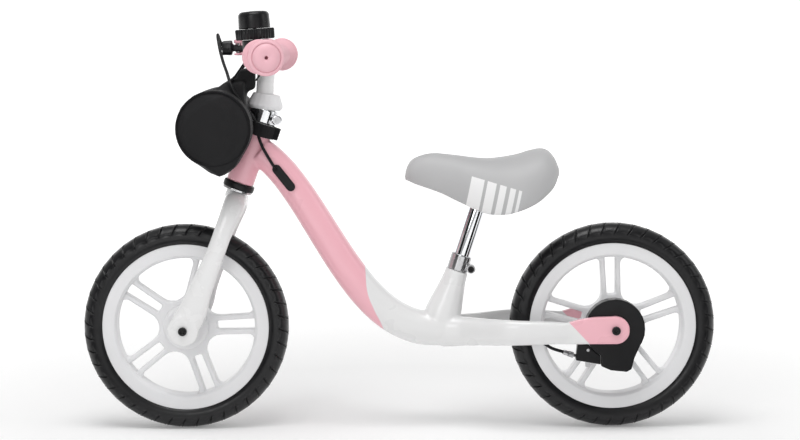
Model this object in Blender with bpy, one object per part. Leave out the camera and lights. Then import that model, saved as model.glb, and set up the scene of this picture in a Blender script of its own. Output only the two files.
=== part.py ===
"""Balance bike with a rear band brake, a twist bell and a roll bag.

Metres, +X forward, +Y to the rider's left, +Z up. The origin is on the ground, midway between the axles.
"""
import math

import bpy
import bmesh
from mathutils import Matrix, Vector


# ------------------------------------------------------------------ driving sizes
GAP = 0.0003                  # left between two pieces that touch
RUN = 0.0006                  # running clearance of a turning or sliding fit

WHEELBASE = 0.600
TYRE_RADIUS = 0.145
TYRE_HALF_WIDTH = 0.023
WHEEL_STEPS = 32              # a flat of the tread lies on the ground
RIM_RADIUS = 0.117            # outer edge of the white rim
RIM_BED = 0.113
RIM_INNER = 0.098
RIM_HALF_WIDTH = 0.018
HUB_RADIUS = 0.031
HUB_HALF_WIDTH = 0.024
WEB_HALF_WIDTH = 0.010
SPOKE_PAIRS = 5
FRONT_SPOKE_TURN = math.radians(2)
REAR_SPOKE_TURN = math.radians(20)

AXLE_RADIUS = 0.004
BEARING_RADIUS = 0.011
BEARING_WIDTH = 0.007
BOLT_HEAD_RADIUS = 0.0062
BOLT_HEAD_HEIGHT = 0.005

HEAD_ANGLE = math.radians(19.5)     # steering axis, leaned back from upright
FORK_LENGTH = 0.2124                # lower headset to axle, along the steering axis
FORK_RAKE = 0.0052
FORK_HALF_SPREAD = 0.050            # centre of a leg from the middle plane
FORK_TIP_HALF_THICKNESS = 0.007
FORK_TIP_RADIUS = 0.0215
HEAD_TUBE_RADIUS = 0.0195
HEAD_TUBE_LENGTH = 0.079
HEAD_CUP_RADIUS = 0.022
HEAD_CUP_HEIGHT = 0.009
STEERER_RADIUS = 0.0143
STEM_RADIUS = 0.0124
STEM_WALL = 0.0016
CLAMP_HEIGHT = 0.0205
CLAMP_RADIUS = 0.0205

BEAM_HALF_HEIGHT_FRONT = 0.0202
BEAM_HALF_HEIGHT_REAR = 0.0245
BEAM_HALF_WIDTH = 0.0215
SEAT_TUBE_ANGLE = math.radians(18)  # leaned back from upright
SEAT_TUBE_RADIUS = 0.0165
SEAT_POST_RADIUS = 0.0110
SEAT_FOOT = 0.246                   # foot of the seat tube, ahead of the rear axle
SEAT_FOOT_HEIGHT = 0.1365
SEAT_TUBE_LENGTH = 0.090            # foot to the top edge
SEAT_BORE_DEPTH = 0.100
STAY_HALF_SPREAD = 0.057
DROPOUT_HALF_THICKNESS = 0.006
DROPOUT_RADIUS = 0.0193

BAR_RADIUS = 0.0111
BAR_HALF_WIDTH = 0.178
BAR_SWEEP_START = 0.070
BAR_SWEEP = math.radians(9)
BAR_HEIGHT = 0.5235
GRIP_LENGTH = 0.104
GRIP_RADIUS = 0.0160
GRIP_FLANGE_RADIUS = 0.0240

BELL_TO_GRIP = 0.022                # middle of the bell from the inner end of the grip
BELL_LEAN = math.radians(4)         # the bell tips forward from upright
SEAT_TOP_HEIGHT = 0.394

DRUM_RADIUS = 0.033
COVER_RADIUS = 0.042
BRAKE_INNER_Y = 0.0285

BAG_RADIUS = 0.052
BAG_HALF_LENGTH = 0.090
STRAP_THICKNESS = 0.0022

CABLE_RADIUS = 0.0022

WHITE = ((0.80, 0.80, 0.80), 0.30, 0.0)
PINK = ((0.89, 0.45, 0.54), 0.32, 0.0)
BLACK = ((0.015, 0.015, 0.016), 0.45, 0.0)
GREY = ((0.50, 0.50, 0.50), 0.60, 0.0)
FOAM = ((0.020, 0.020, 0.021), 0.75, 0.0)
CLOTH = ((0.020, 0.020, 0.022), 0.90, 0.0)
STEEL = ((0.62, 0.62, 0.63), 0.30, 1.0)
CHROME = ((0.80, 0.80, 0.82), 0.08, 1.0)


# ------------------------------------------------------------------ derived places
BELL_Y = BAR_HALF_WIDTH - GRIP_LENGTH - BELL_TO_GRIP
LEVER_Y = -BELL_Y
AXLE_HEIGHT = TYRE_RADIUS * math.cos(math.pi / WHEEL_STEPS)
FRONT_AXLE = Vector((WHEELBASE / 2, 0, AXLE_HEIGHT))
REAR_AXLE = Vector((-WHEELBASE / 2, 0, AXLE_HEIGHT))
STEER_UP = Vector((-math.sin(HEAD_ANGLE), 0, math.cos(HEAD_ANGLE)))
STEER_FORWARD = Vector((math.cos(HEAD_ANGLE), 0, math.sin(HEAD_ANGLE)))
HEAD_BASE = FRONT_AXLE + STEER_UP * FORK_LENGTH - STEER_FORWARD * FORK_RAKE
STEER = Matrix.Translation(HEAD_BASE) @ Matrix.Rotation(-HEAD_ANGLE, 4, 'Y')
SEAT_UP = Vector((-math.sin(SEAT_TUBE_ANGLE), 0, math.cos(SEAT_TUBE_ANGLE)))
SEAT_FOOT_POINT = Vector((REAR_AXLE.x + SEAT_FOOT, 0, SEAT_FOOT_HEIGHT))
SEAT = Matrix.Translation(SEAT_FOOT_POINT) @ Matrix.Rotation(-SEAT_TUBE_ANGLE, 4, 'Y')
TO_LEFT = Matrix.Rotation(-math.pi / 2, 4, 'X')     # turns local Z to +Y
TO_RIGHT = Matrix.Rotation(math.pi / 2, 4, 'X')     # turns local Z to -Y


# ------------------------------------------------------------------ makers
def paint(obj, finish):
    """Give the object its own material."""
    colour, roughness, metallic = finish
    mat = bpy.data.materials.new(obj.name)
    mat.use_nodes = True
    shader = mat.node_tree.nodes["Principled BSDF"]
    shader.inputs["Base Color"].default_value = (*colour, 1)
    shader.inputs["Roughness"].default_value = roughness
    shader.inputs["Metallic"].default_value = metallic
    obj.data.materials.append(mat)


def solid(name, verts, faces, finish, at=Matrix()):
    """Make one closed mesh object, its points carried by a placing matrix."""
    mesh = bpy.data.meshes.new(name)
    mesh.from_pydata([at @ Vector(v) for v in verts], [], faces)
    shell = bmesh.new()
    shell.from_mesh(mesh)
    bmesh.ops.recalc_face_normals(shell, faces=shell.faces)
    shell.to_mesh(mesh)
    shell.free()
    mesh.shade_smooth()
    mesh.set_sharp_from_angle(angle=math.radians(35))
    obj = bpy.data.objects.new(name, mesh)
    bpy.context.scene.collection.objects.link(obj)
    paint(obj, finish)
    return obj


def turned(name, profile, finish, at=Matrix(), steps=20, phase=0.0):
    """Turn a closed (radius, height) outline round local Z. Ends at radius 0 close on the axis."""
    verts, rows = [], []
    for radius, height in profile:
        first = len(verts)
        if radius == 0:
            verts.append((0, 0, height))
            rows.append([first])
            continue
        for step in range(steps):
            angle = 2 * math.pi * (step + phase) / steps
            verts.append((radius * math.cos(angle), radius * math.sin(angle), height))
        rows.append(list(range(first, first + steps)))
    faces = []
    for low, high in zip(rows, rows[1:] + rows[:1]):
        if len(low) == 1 and len(high) == 1:
            continue
        for step in range(steps):
            after = (step + 1) % steps
            face = [low[step % len(low)], low[after % len(low)], high[after % len(high)],
                    high[step % len(high)]]
            faces.append(list(dict.fromkeys(face)))
    return solid(name, verts, faces, finish, at)


def rod(name, radius, low, high, finish, at=Matrix(), steps=16):
    """A plain round bar along local Z."""
    return turned(name, [(0, low), (radius, low), (radius, high), (0, high)], finish, at, steps)


def bore(name, radius, low, high, at, steps=16):
    """A cutter for a round hole, turned a little so that its corners miss those of the piece."""
    return turned(name, [(0, low), (radius, low), (radius, high), (0, high)], STEEL, at, steps, 0.37)


def ring(name, inner, outer, low, high, finish, at=Matrix(), steps=20):
    """A plain round sleeve along local Z."""
    return turned(name, [(inner, low), (outer, low), (outer, high), (inner, high)], finish, at, steps)


def lofted(name, sections, finish, at=Matrix()):
    """Skin a row of outlines that have the same number of points, and close both ends."""
    count = len(sections[0])
    verts = [point for section in sections for point in section]
    faces = [list(range(count)), list(range(len(verts) - count, len(verts)))]
    for row in range(len(sections) - 1):
        for step in range(count):
            after = (step + 1) % count
            low = row * count
            faces.append([low + step, low + after, low + count + after, low + count + step])
    return solid(name, verts, faces, finish, at)


def oval(centre, across, along, half_across, half_along, count=16, power=2.0):
    """A rounded outline; power 2 is an ellipse and a higher power is squarer."""
    points = []
    for step in range(count):
        angle = 2 * math.pi * step / count
        c, s = math.cos(angle), math.sin(angle)
        a = math.copysign(abs(c) ** (2 / power), c) * half_across
        b = math.copysign(abs(s) ** (2 / power), s) * half_along
        points.append(Vector(centre) + Vector(across) * a + Vector(along) * b)
    return points


def swept(name, stations, finish, reference, count=16, power=2.0, at=Matrix()):
    """Loft ovals square to a path. A station is (point, half size along the reference, other half size)."""
    points = [Vector(station[0]) for station in stations]
    sections = []
    for index, (_, half_reference, half_other) in enumerate(stations):
        tangent = (points[min(index + 1, len(points) - 1)] - points[max(index - 1, 0)]).normalized()
        other = tangent.cross(Vector(reference)).normalized()
        across = other.cross(tangent).normalized()
        sections.append(oval(points[index], across, other, half_reference, half_other, count, power))
    return lofted(name, sections, finish, at)


def side_plate(name, outline, inner_y, outer_y, finish):
    """Push an (x, z) outline from one Y to another."""
    count = len(outline)
    verts = [(x, inner_y, z) for x, z in outline] + [(x, outer_y, z) for x, z in outline]
    faces = [list(range(count)), list(range(count, 2 * count))]
    for step in range(count):
        after = (step + 1) % count
        faces.append([step, after, count + after, count + step])
    return solid(name, verts, faces, finish)


def arc(centre, radius, start, end, steps):
    """Points on a circle from one angle to another, in degrees."""
    x, z = centre
    angles = [math.radians(start + (end - start) * step / steps) for step in range(steps + 1)]
    return [(x + radius * math.cos(a), z + radius * math.sin(a)) for a in angles]


def as_tool(obj):
    """Keep an object only as a cutter or a joined shape."""
    obj.hide_render = True
    obj.display_type = 'WIRE'
    return obj


def combine(target, operation, pieces):
    """Add one exact Boolean to the target for each piece."""
    for piece in pieces:
        modifier = target.modifiers.new(piece.name, 'BOOLEAN')
        modifier.operation = operation
        modifier.object = as_tool(piece)


def join(target, *pieces):
    combine(target, 'UNION', pieces)


def cut(target, *pieces):
    combine(target, 'DIFFERENCE', pieces)


def cord(name, route, radius, finish):
    """A round cord as a curve through a smooth path."""
    curve = bpy.data.curves.new(name, 'CURVE')
    curve.dimensions = '3D'
    curve.bevel_depth = radius
    curve.bevel_resolution = 2
    curve.use_fill_caps = True
    spline = curve.splines.new('POLY')
    spline.points.add(len(route) - 1)
    for point, place in zip(spline.points, route):
        point.co = (*place, 1)
    obj = bpy.data.objects.new(name, curve)
    bpy.context.scene.collection.objects.link(obj)
    paint(obj, finish)
    return obj


def smooth_route(points, per_span):
    """Points on a Catmull-Rom curve through the given ones."""
    points = [Vector(p) for p in points]
    ends = [2 * points[0] - points[1]] + points + [2 * points[-1] - points[-2]]
    route = []
    for a, b, c, d in zip(ends, ends[1:], ends[2:], ends[3:]):
        for step in range(per_span):
            t = step / per_span
            route.append(0.5 * (2 * b + (c - a) * t + (2 * a - 5 * b + 4 * c - d) * t ** 2
                                + (3 * b - a - 3 * c + d) * t ** 3))
    return route + [points[-1]]


def channel(name, points, radius, finish):
    """A cutter along a cord's path."""
    stations = [(point, radius, radius) for point in smooth_route(points, 2)]
    return swept(name, stations, finish, (0.3, 1, 0.2), 8)


def pivot(name, at):
    """An empty on a joint's axis."""
    empty = bpy.data.objects.new(name, None)
    empty.empty_display_size = 0.03
    empty.matrix_world = at
    bpy.context.scene.collection.objects.link(empty)
    return empty


def hang(empty, *pieces):
    """Move pieces under an empty, with their origins on it, and leave their shapes in place."""
    back = empty.matrix_world.inverted()
    for piece in pieces:
        piece.data.transform(back)
        piece.parent = empty
    return pieces


# ------------------------------------------------------------------ wheels
def opening_cutters(name, axle, turn):
    """Cutters for the five big openings and the slot inside each pair of spokes."""
    half_pair = 0.0140
    spoke = 0.0070
    fillet = 0.0205
    apex = (fillet + half_pair) / math.sin(math.pi / SPOKE_PAIRS)
    step_turn = 2 * math.pi / SPOKE_PAIRS
    cutters = []
    for pair in range(SPOKE_PAIRS):
        angle = turn + pair * step_turn
        bisector = angle + step_turn / 2
        edge = math.degrees(step_turn / 2 - math.asin((half_pair + 0.0015) / RIM_INNER)) - 2
        opening = arc((0, 0), RIM_INNER - 0.001, -edge, edge, 5)
        opening += arc((apex, 0), fillet, 90 + 36, 270 - 36, 4)
        slot_inner, slot_outer = 0.043, RIM_INNER - 0.001
        slot = [(slot_outer, -half_pair + spoke), (slot_outer, half_pair - spoke),
                (slot_inner, half_pair - spoke - 0.002), (slot_inner, -half_pair + spoke + 0.002)]
        for kind, outline, direction in (("opening", opening, bisector), ("slot", slot, angle)):
            c, s = math.cos(direction), math.sin(direction)
            placed = [(axle.x - x * c + z * s, axle.z + x * s + z * c) for x, z in outline]
            cutters.append(side_plate(f"{name}_{kind}_{pair}", placed, -0.02, 0.02, WHITE))
    return cutters


def wheel(end, axle, turn):
    """Tyre, rim and two bearings of one wheel."""
    at = Matrix.Translation(axle) @ TO_LEFT
    half = RIM_HALF_WIDTH
    flange = 0.0028
    seat = HUB_HALF_WIDTH - BEARING_WIDTH
    right_side = [(AXLE_RADIUS + RUN, seat - 0.001), (BEARING_RADIUS + GAP, seat - 0.001),
                  (BEARING_RADIUS + GAP, HUB_HALF_WIDTH), (HUB_RADIUS, HUB_HALF_WIDTH),
                  (HUB_RADIUS, WEB_HALF_WIDTH), (RIM_INNER, WEB_HALF_WIDTH), (RIM_INNER, half),
                  (RIM_RADIUS, half), (RIM_RADIUS, half - flange), (RIM_BED, half - flange)]
    profile = right_side + [(r, -y) for r, y in reversed(right_side)]
    rim = turned(f"{end}_rim", profile, WHITE, at, WHEEL_STEPS, 0.5)
    cut(rim, *opening_cutters(f"{end}_rim", axle, turn))
    bead = half - flange - GAP
    shoulder = [(RIM_BED + GAP, bead), (RIM_RADIUS + GAP, bead), (RIM_RADIUS + GAP, half + 0.0006),
                (0.88 * TYRE_RADIUS, TYRE_HALF_WIDTH), (0.955 * TYRE_RADIUS, TYRE_HALF_WIDTH - 0.003),
                (TYRE_RADIUS, TYRE_HALF_WIDTH - 0.013)]
    outline = shoulder + [(r, -y) for r, y in reversed(shoulder)]
    tyre = turned(f"{end}_tyre", outline, FOAM, at, WHEEL_STEPS, 0.5)
    pieces = [rim, tyre]
    for side, way in (("left", 1), ("right", -1)):
        inner, outer = way * (seat - 0.001 + GAP), way * (seat - 0.001 + GAP + BEARING_WIDTH)
        pieces.append(ring(f"{end}_bearing_{side}", AXLE_RADIUS + GAP, BEARING_RADIUS, min(inner, outer),
                           max(inner, outer), STEEL, at, 12))
    return pieces


def axle_set(end, axle, outer_y, spacer_ends):
    """The axle rod, its two cap bolts and the spacers beside the hub."""
    at = Matrix.Translation(axle) @ TO_LEFT
    reach = outer_y - 0.001
    pieces = [rod(f"{end}_axle", AXLE_RADIUS, -reach, reach, STEEL, at, 12)]
    for side, way in (("left", 1), ("right", -1)):
        face = Matrix.Translation(axle + Vector((0, way * outer_y, 0))) @ (TO_LEFT if way > 0 else TO_RIGHT)
        top = GAP + BOLT_HEAD_HEIGHT
        head = [(0, GAP), (BOLT_HEAD_RADIUS, GAP), (BOLT_HEAD_RADIUS, top - 0.001),
                (BOLT_HEAD_RADIUS - 0.001, top), (0.003, top), (0.003, top - 0.003), (0, top - 0.003)]
        pieces.append(turned(f"{end}_bolt_{side}", head, BLACK, face, 12))
        inner, outer = spacer_ends[side]
        pieces.append(ring(f"{end}_spacer_{side}", AXLE_RADIUS + GAP, 0.0075,
                           way * inner if way > 0 else -outer,
                           way * outer if way > 0 else -inner, STEEL, at, 12))
    return pieces


# ------------------------------------------------------------------ frame
def beam_route(steps, side=0.0):
    """The main beam's centre line, from the head tube down to the foot of the seat tube."""
    leave, arrive = math.radians(31.8), math.radians(-3.0)
    start = STEER @ Vector((-0.0121, side, 0.0548))
    end = SEAT_FOOT_POINT + Vector((0, side, 0.003))
    span = (start - end).length
    handle_a = start - Vector((math.cos(leave), 0, math.sin(leave))) * 0.269 * span
    handle_b = end + Vector((math.cos(arrive), 0, math.sin(arrive))) * 0.342 * span
    route = []
    for step in range(steps + 1):
        t = step / steps
        s = 1 - t
        route.append(s ** 3 * start + 3 * s * s * t * handle_a + 3 * s * t * t * handle_b + t ** 3 * end)
    return route


def stay(side, way):
    """One chain stay, from inside the beam to the dropout."""
    begin = SEAT_FOOT_POINT.x - 0.006
    parallel = REAR_AXLE.x + TYRE_RADIUS - 0.020
    stations = []
    for x, half_height, half_thickness in (
            (begin, 0.0215, 0.016), (begin - 0.030, 0.0205, 0.0150), (begin - 0.055, 0.0190, 0.0130),
            (begin - 0.080, 0.0182, 0.0110), ((begin + parallel) / 2 - 0.018, 0.0180, 0.0100),
            (parallel, 0.0172, 0.0092), (REAR_AXLE.x + 0.092, 0.0160, 0.0088),
            (REAR_AXLE.x + 0.072, 0.0148, 0.0072), (REAR_AXLE.x + 0.050, 0.0140, 0.0054)):
        t = min(max((begin - x) / (begin - parallel), 0), 1)
        y = 0.006 + (STAY_HALF_SPREAD - 0.006) * t * t * (3 - 2 * t)
        rise = min(max((begin - x) / 0.100, 0), 1)
        z = SEAT_FOOT_HEIGHT - 0.001 + 0.005 * rise
        stations.append(((x, way * y, z + (AXLE_HEIGHT - z) * max(0, 1 - (x - REAR_AXLE.x) / 0.06)),
                         half_height, half_thickness))
    tube = swept(f"stay_{side}", stations, PINK, (0, 0, 1), 12, 2.6)
    x, z, r = REAR_AXLE.x, REAR_AXLE.z, DROPOUT_RADIUS
    end = arc((x, z), r, 90, 270, 9) + [(x + 0.084, z - r), (x + 0.084, z + 0.008), (x + 0.067, z + 0.0105),
                                        (x + 0.050, z + 0.0155), (x + 0.028, z + 0.0185)]
    inner = way * (STAY_HALF_SPREAD - DROPOUT_HALF_THICKNESS)
    outer = way * (STAY_HALF_SPREAD + DROPOUT_HALF_THICKNESS)
    return tube, side_plate(f"dropout_{side}", end, inner, outer, PINK)


def frame():
    """The one-piece cast frame: head tube, beam, seat tube, yoke and stays."""
    steps = 11
    stations = []
    for step, point in enumerate(beam_route(steps)):
        t = step / steps
        half_height = BEAM_HALF_HEIGHT_FRONT + (BEAM_HALF_HEIGHT_REAR - BEAM_HALF_HEIGHT_FRONT) * t
        stations.append((point, BEAM_HALF_WIDTH + 0.002 * t, half_height))
    stations.append((SEAT_FOOT_POINT + Vector((-0.018, 0, 0.001)), BEAM_HALF_WIDTH + 0.002, 0.0225))
    body = swept("frame", stations, PINK, (0, 1, 0), 16, 2.3)
    low = HEAD_CUP_HEIGHT / 2
    head = rod("head_tube", HEAD_TUBE_RADIUS, low, low + HEAD_TUBE_LENGTH, PINK, STEER, 20)
    tube_stations = [((0, 0, 0), 0.024, 0.022), ((0, 0, 0.035), 0.0245, 0.0205),
                     ((0, 0, 0.060), 0.0195, 0.0178), ((0, 0, 0.080), SEAT_TUBE_RADIUS, SEAT_TUBE_RADIUS),
                     ((0, 0, SEAT_TUBE_LENGTH), SEAT_TUBE_RADIUS, SEAT_TUBE_RADIUS)]
    tube = swept("seat_tube", tube_stations, PINK, (1, 0, 0), 16, 2.0, SEAT)
    yoke_front, yoke_rear = SEAT_FOOT_POINT.x - 0.010, SEAT_FOOT_POINT.x - 0.070
    yoke_outline = [(yoke_front, -0.016), (yoke_front, 0.016), (yoke_rear, 0.040), (yoke_rear, -0.040)]
    half = 0.0125
    yoke = lofted("yoke", [[(x, y, SEAT_FOOT_HEIGHT - half) for x, y in yoke_outline],
                           [(x, y, SEAT_FOOT_HEIGHT + half) for x, y in yoke_outline]], PINK)
    join(body, head, tube, yoke, *stay("left", 1), *stay("right", -1))
    head_bore = bore("head_bore", STEERER_RADIUS + 0.002, -0.02, HEAD_TUBE_LENGTH + 0.03, STEER, 20)
    seat_bore = bore("seat_bore", SEAT_POST_RADIUS + RUN, SEAT_TUBE_LENGTH - SEAT_BORE_DEPTH,
                    SEAT_TUBE_LENGTH + 0.02, SEAT, 16)
    axle_bore = bore("axle_bore", AXLE_RADIUS + GAP, -0.09, 0.09, Matrix.Translation(REAR_AXLE) @ TO_LEFT,
                     12)
    duct = channel("cable_duct", CABLE_IN_FRAME, CABLE_RADIUS + 0.001, PINK)
    pocket = grommet_shape("grommet_pocket", GAP)
    cut(body, head_bore, seat_bore, axle_bore, duct, pocket)
    return body


# ------------------------------------------------------------------ steering
def headset():
    """Cups, bearings and the crown race round the steerer."""
    base = HEAD_CUP_HEIGHT / 2
    top = base + HEAD_TUBE_LENGTH
    bore = STEERER_RADIUS + RUN
    cup_bore = HEAD_CUP_RADIUS - 0.0018
    lower = turned("lower_headset_cup", [(cup_bore, base - GAP - HEAD_CUP_HEIGHT),
                                         (HEAD_CUP_RADIUS, base - GAP - HEAD_CUP_HEIGHT),
                                         (HEAD_CUP_RADIUS, base - GAP), (bore, base - GAP),
                                         (bore, base - GAP - 0.0015), (cup_bore, base - GAP - 0.0015)],
                   BLACK, STEER, 20)
    lower_bearing = ring("lower_head_bearing", bore, cup_bore - GAP, base - GAP - 0.0015 - GAP - 0.006,
                         base - GAP - 0.0015 - GAP, STEEL, STEER, 16)
    race = ring("crown_race", STEERER_RADIUS + GAP, HEAD_CUP_RADIUS - 0.001,
                base - GAP - HEAD_CUP_HEIGHT - GAP - 0.0025,
                base - GAP - HEAD_CUP_HEIGHT - GAP, STEEL, STEER, 16)
    upper = turned("upper_headset_cup", [(bore, top + GAP), (HEAD_CUP_RADIUS, top + GAP),
                                         (HEAD_CUP_RADIUS, top + GAP + HEAD_CUP_HEIGHT),
                                         (cup_bore, top + GAP + HEAD_CUP_HEIGHT),
                                         (cup_bore, top + GAP + 0.0015), (bore, top + GAP + 0.0015)],
                   BLACK, STEER, 20)
    upper_bearing = ring("upper_head_bearing", bore, cup_bore - GAP, top + GAP + 0.0015 + GAP,
                         top + GAP + 0.0015 + GAP + 0.006, STEEL, STEER, 16)
    return [lower, lower_bearing, upper, upper_bearing], race


def fork():
    """Crown, two bowed legs and the steerer tube, cast as one."""
    spread = FORK_HALF_SPREAD
    crown = -0.0198
    tip = -FORK_LENGTH
    leg = [((-0.0037, 0.024, crown - 0.0015), 0.0152, 0.0112),
           ((-0.0044, 0.041, crown - 0.015), 0.0148, 0.0102),
           ((-0.0030, spread - 0.001, crown - 0.045), 0.0130, 0.0088),
           ((-0.0024, spread, -0.095), 0.0133, 0.0080),
           ((-0.0008, spread, -0.128), 0.0150, 0.0076),
           ((0.0010, spread, -0.155), 0.0170, 0.0073),
           ((0.0012, spread, -0.178), 0.0196, FORK_TIP_HALF_THICKNESS),
           ((FORK_RAKE - 0.001, spread, tip + 0.012), 0.0212, FORK_TIP_HALF_THICKNESS)]
    right = [((x, -y, z), a, b) for (x, y, z), a, b in leg]
    middle = [((-0.0035, 0, crown), 0.0155, 0.0115)]
    body = swept("fork", right[::-1] + middle + leg, WHITE, (1, 0, 0), 12, 2.4, STEER)
    tips = []
    for side, way in (("left", 1), ("right", -1)):
        disc = arc((FRONT_AXLE.x, FRONT_AXLE.z), FORK_TIP_RADIUS, 0, 340, 17)
        tips.append(side_plate(f"fork_tip_{side}", disc, way * (spread - FORK_TIP_HALF_THICKNESS),
                               way * (spread + FORK_TIP_HALF_THICKNESS), WHITE))
    steerer_top = CLAMP_LOW + CLAMP_HEIGHT - 0.0045
    steerer = rod("steerer", STEERER_RADIUS, crown, steerer_top, WHITE, STEER, 20)
    join(body, *tips, steerer)
    stem_room = bore("steerer_bore", STEM_RADIUS + GAP, crown - 0.04, steerer_top + 0.02, STEER, 20)
    axle_bore = bore("fork_axle_bore", AXLE_RADIUS + GAP, -0.09, 0.09,
                     Matrix.Translation(FRONT_AXLE) @ TO_LEFT, 16)
    cut(body, stem_room, axle_bore)
    return body


def stem_clamp():
    """The ring that pinches the steerer on the stem, with its bolt at the back left."""
    low = CLAMP_LOW
    body = ring("stem_clamp", STEERER_RADIUS + GAP, CLAMP_RADIUS, low, low + CLAMP_HEIGHT - 0.001, CHROME,
                STEER, 24)
    ear_at = STEER @ Matrix.Translation((-CLAMP_RADIUS - 0.001, 0, low + CLAMP_HEIGHT / 2 - 0.0005))
    ears = rod("clamp_ears", 0.0068, -0.0145, 0.0145, CHROME, ear_at @ TO_LEFT, 18)
    join(body, ears)
    bolt_bore = bore("clamp_bolt_bore", 0.0030 + GAP, -0.02, 0.02, ear_at @ TO_LEFT, 14)
    cut(body, bolt_bore)
    shank, face, top = 0.0030, 0.0145 + GAP, 0.0190
    bolt = turned("stem_clamp_bolt", [(0, -0.0165), (shank, -0.0165), (shank, face), (0.0052, face),
                                      (0.0052, top), (0.0025, top), (0.0025, top - 0.003),
                                      (0, top - 0.003)],
                  STEEL, ear_at @ TO_LEFT, 16)
    return body, bolt


STEM_LEAN = math.radians(4.4)
CLAMP_LOW = HEAD_CUP_HEIGHT / 2 + HEAD_TUBE_LENGTH + HEAD_CUP_HEIGHT + 0.0025
STEM_BEND = CLAMP_LOW + CLAMP_HEIGHT
BEND_POINT = STEER @ Vector((0, 0, STEM_BEND))
STEM_UP = Vector((-math.sin(STEM_LEAN), 0, math.cos(STEM_LEAN)))
STEM_FOOT = BEND_POINT + Vector((0.0015, 0, 0.013))
STEM_TOP = STEM_FOOT + STEM_UP * ((BAR_HEIGHT - STEM_FOOT.z) / STEM_UP.z)
BAR_CENTRE = STEM_TOP + Vector((0.0070, 0, 0))


def bar_point(distance, way):
    """A point on the handlebar, at a distance along it from the middle, to the left (1) or right (-1)."""
    straight = min(distance, BAR_SWEEP_START)
    swept_part = max(distance - BAR_SWEEP_START, 0)
    return BAR_CENTRE + Vector((-math.sin(BAR_SWEEP) * swept_part,
                                way * (straight + math.cos(BAR_SWEEP) * swept_part), 0))


def stem_shape(name, radius, low, top_cut):
    """The stem tube: down the steering axis inside the steerer, bent over the clamp, then up to the bar."""
    stations = [(STEER @ Vector((0, 0, low)), radius, radius),
                (STEER @ Vector((0, 0, STEM_BEND - 0.006)), radius, radius),
                (BEND_POINT + Vector((0, 0, 0.002)), radius, radius), (STEM_FOOT, radius, radius),
                (STEM_TOP - STEM_UP * top_cut, radius, radius)]
    return swept(name, stations, WHITE, (0, 1, 0), 16, 2.0)


def handlebar():
    """Crossbar and bent stem tube, welded into one, both hollow."""
    def bar(name, radius, extra):
        reach = [0, BAR_SWEEP_START - 0.004, BAR_SWEEP_START + 0.004, BAR_HALF_WIDTH + extra]
        stations = [(bar_point(d, -1), radius, radius) for d in reversed(reach)]
        stations += [(bar_point(d, 1), radius, radius) for d in reach[1:]]
        return swept(name, stations, WHITE, (0, 0, 1), 12, 2.0)

    body = bar("handlebar", BAR_RADIUS, 0)
    join(body, stem_shape("stem_tube", STEM_RADIUS, 0.012, 0))
    cut(body, bar("bar_hollow", BAR_RADIUS - STEM_WALL, 0.01),
        stem_shape("stem_hollow", STEM_RADIUS - STEM_WALL, 0.002, 0.016))
    return body


def stem_collar():
    """The white cap over the top of the clamp, moulded round the bend of the stem."""
    middle = BEND_POINT + Vector((0.0012, 0, -0.0020))
    lean = Matrix.Translation(middle) @ Matrix.Rotation(-math.radians(8), 4, 'Y')
    body = turned("stem_collar", [(0, 0), (0.0222, 0), (0.0250, 0.0050), (0.0240, 0.0090), (0.0188, 0.0215),
                                  (0, 0.0225)], WHITE, lean, 20)
    cut(body, stem_shape("collar_room", STEM_RADIUS + GAP, 0.012, 0.012),
        bore("collar_recess", CLAMP_RADIUS + GAP, CLAMP_LOW, CLAMP_LOW + CLAMP_HEIGHT - 0.0005, STEER, 22))
    return body


def grip(side, way):
    """A soft grip with a guard at each end, closed over the end of the bar."""
    length = BAR_HALF_WIDTH - GRIP_LENGTH + 0.006
    start, end = bar_point(length, way), bar_point(BAR_HALF_WIDTH, way)
    axis = (end - start).normalized()
    at = Matrix.Translation(start) @ axis.to_track_quat('Z', 'Y').to_matrix().to_4x4()
    inside = (end - start).length + GAP
    flange, body, bore = GRIP_FLANGE_RADIUS, GRIP_RADIUS, BAR_RADIUS + GAP
    outline = [(bore, 0), (flange, 0.001), (flange, 0.004), (body, 0.008), (body, inside - 0.010),
               (flange, inside - 0.001), (flange - 0.002, inside + 0.0045), (0.0012, inside + 0.0060),
               (0.0012, inside), (bore, inside)]
    return turned(f"grip_{side}", outline, PINK, at, 20)


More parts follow.
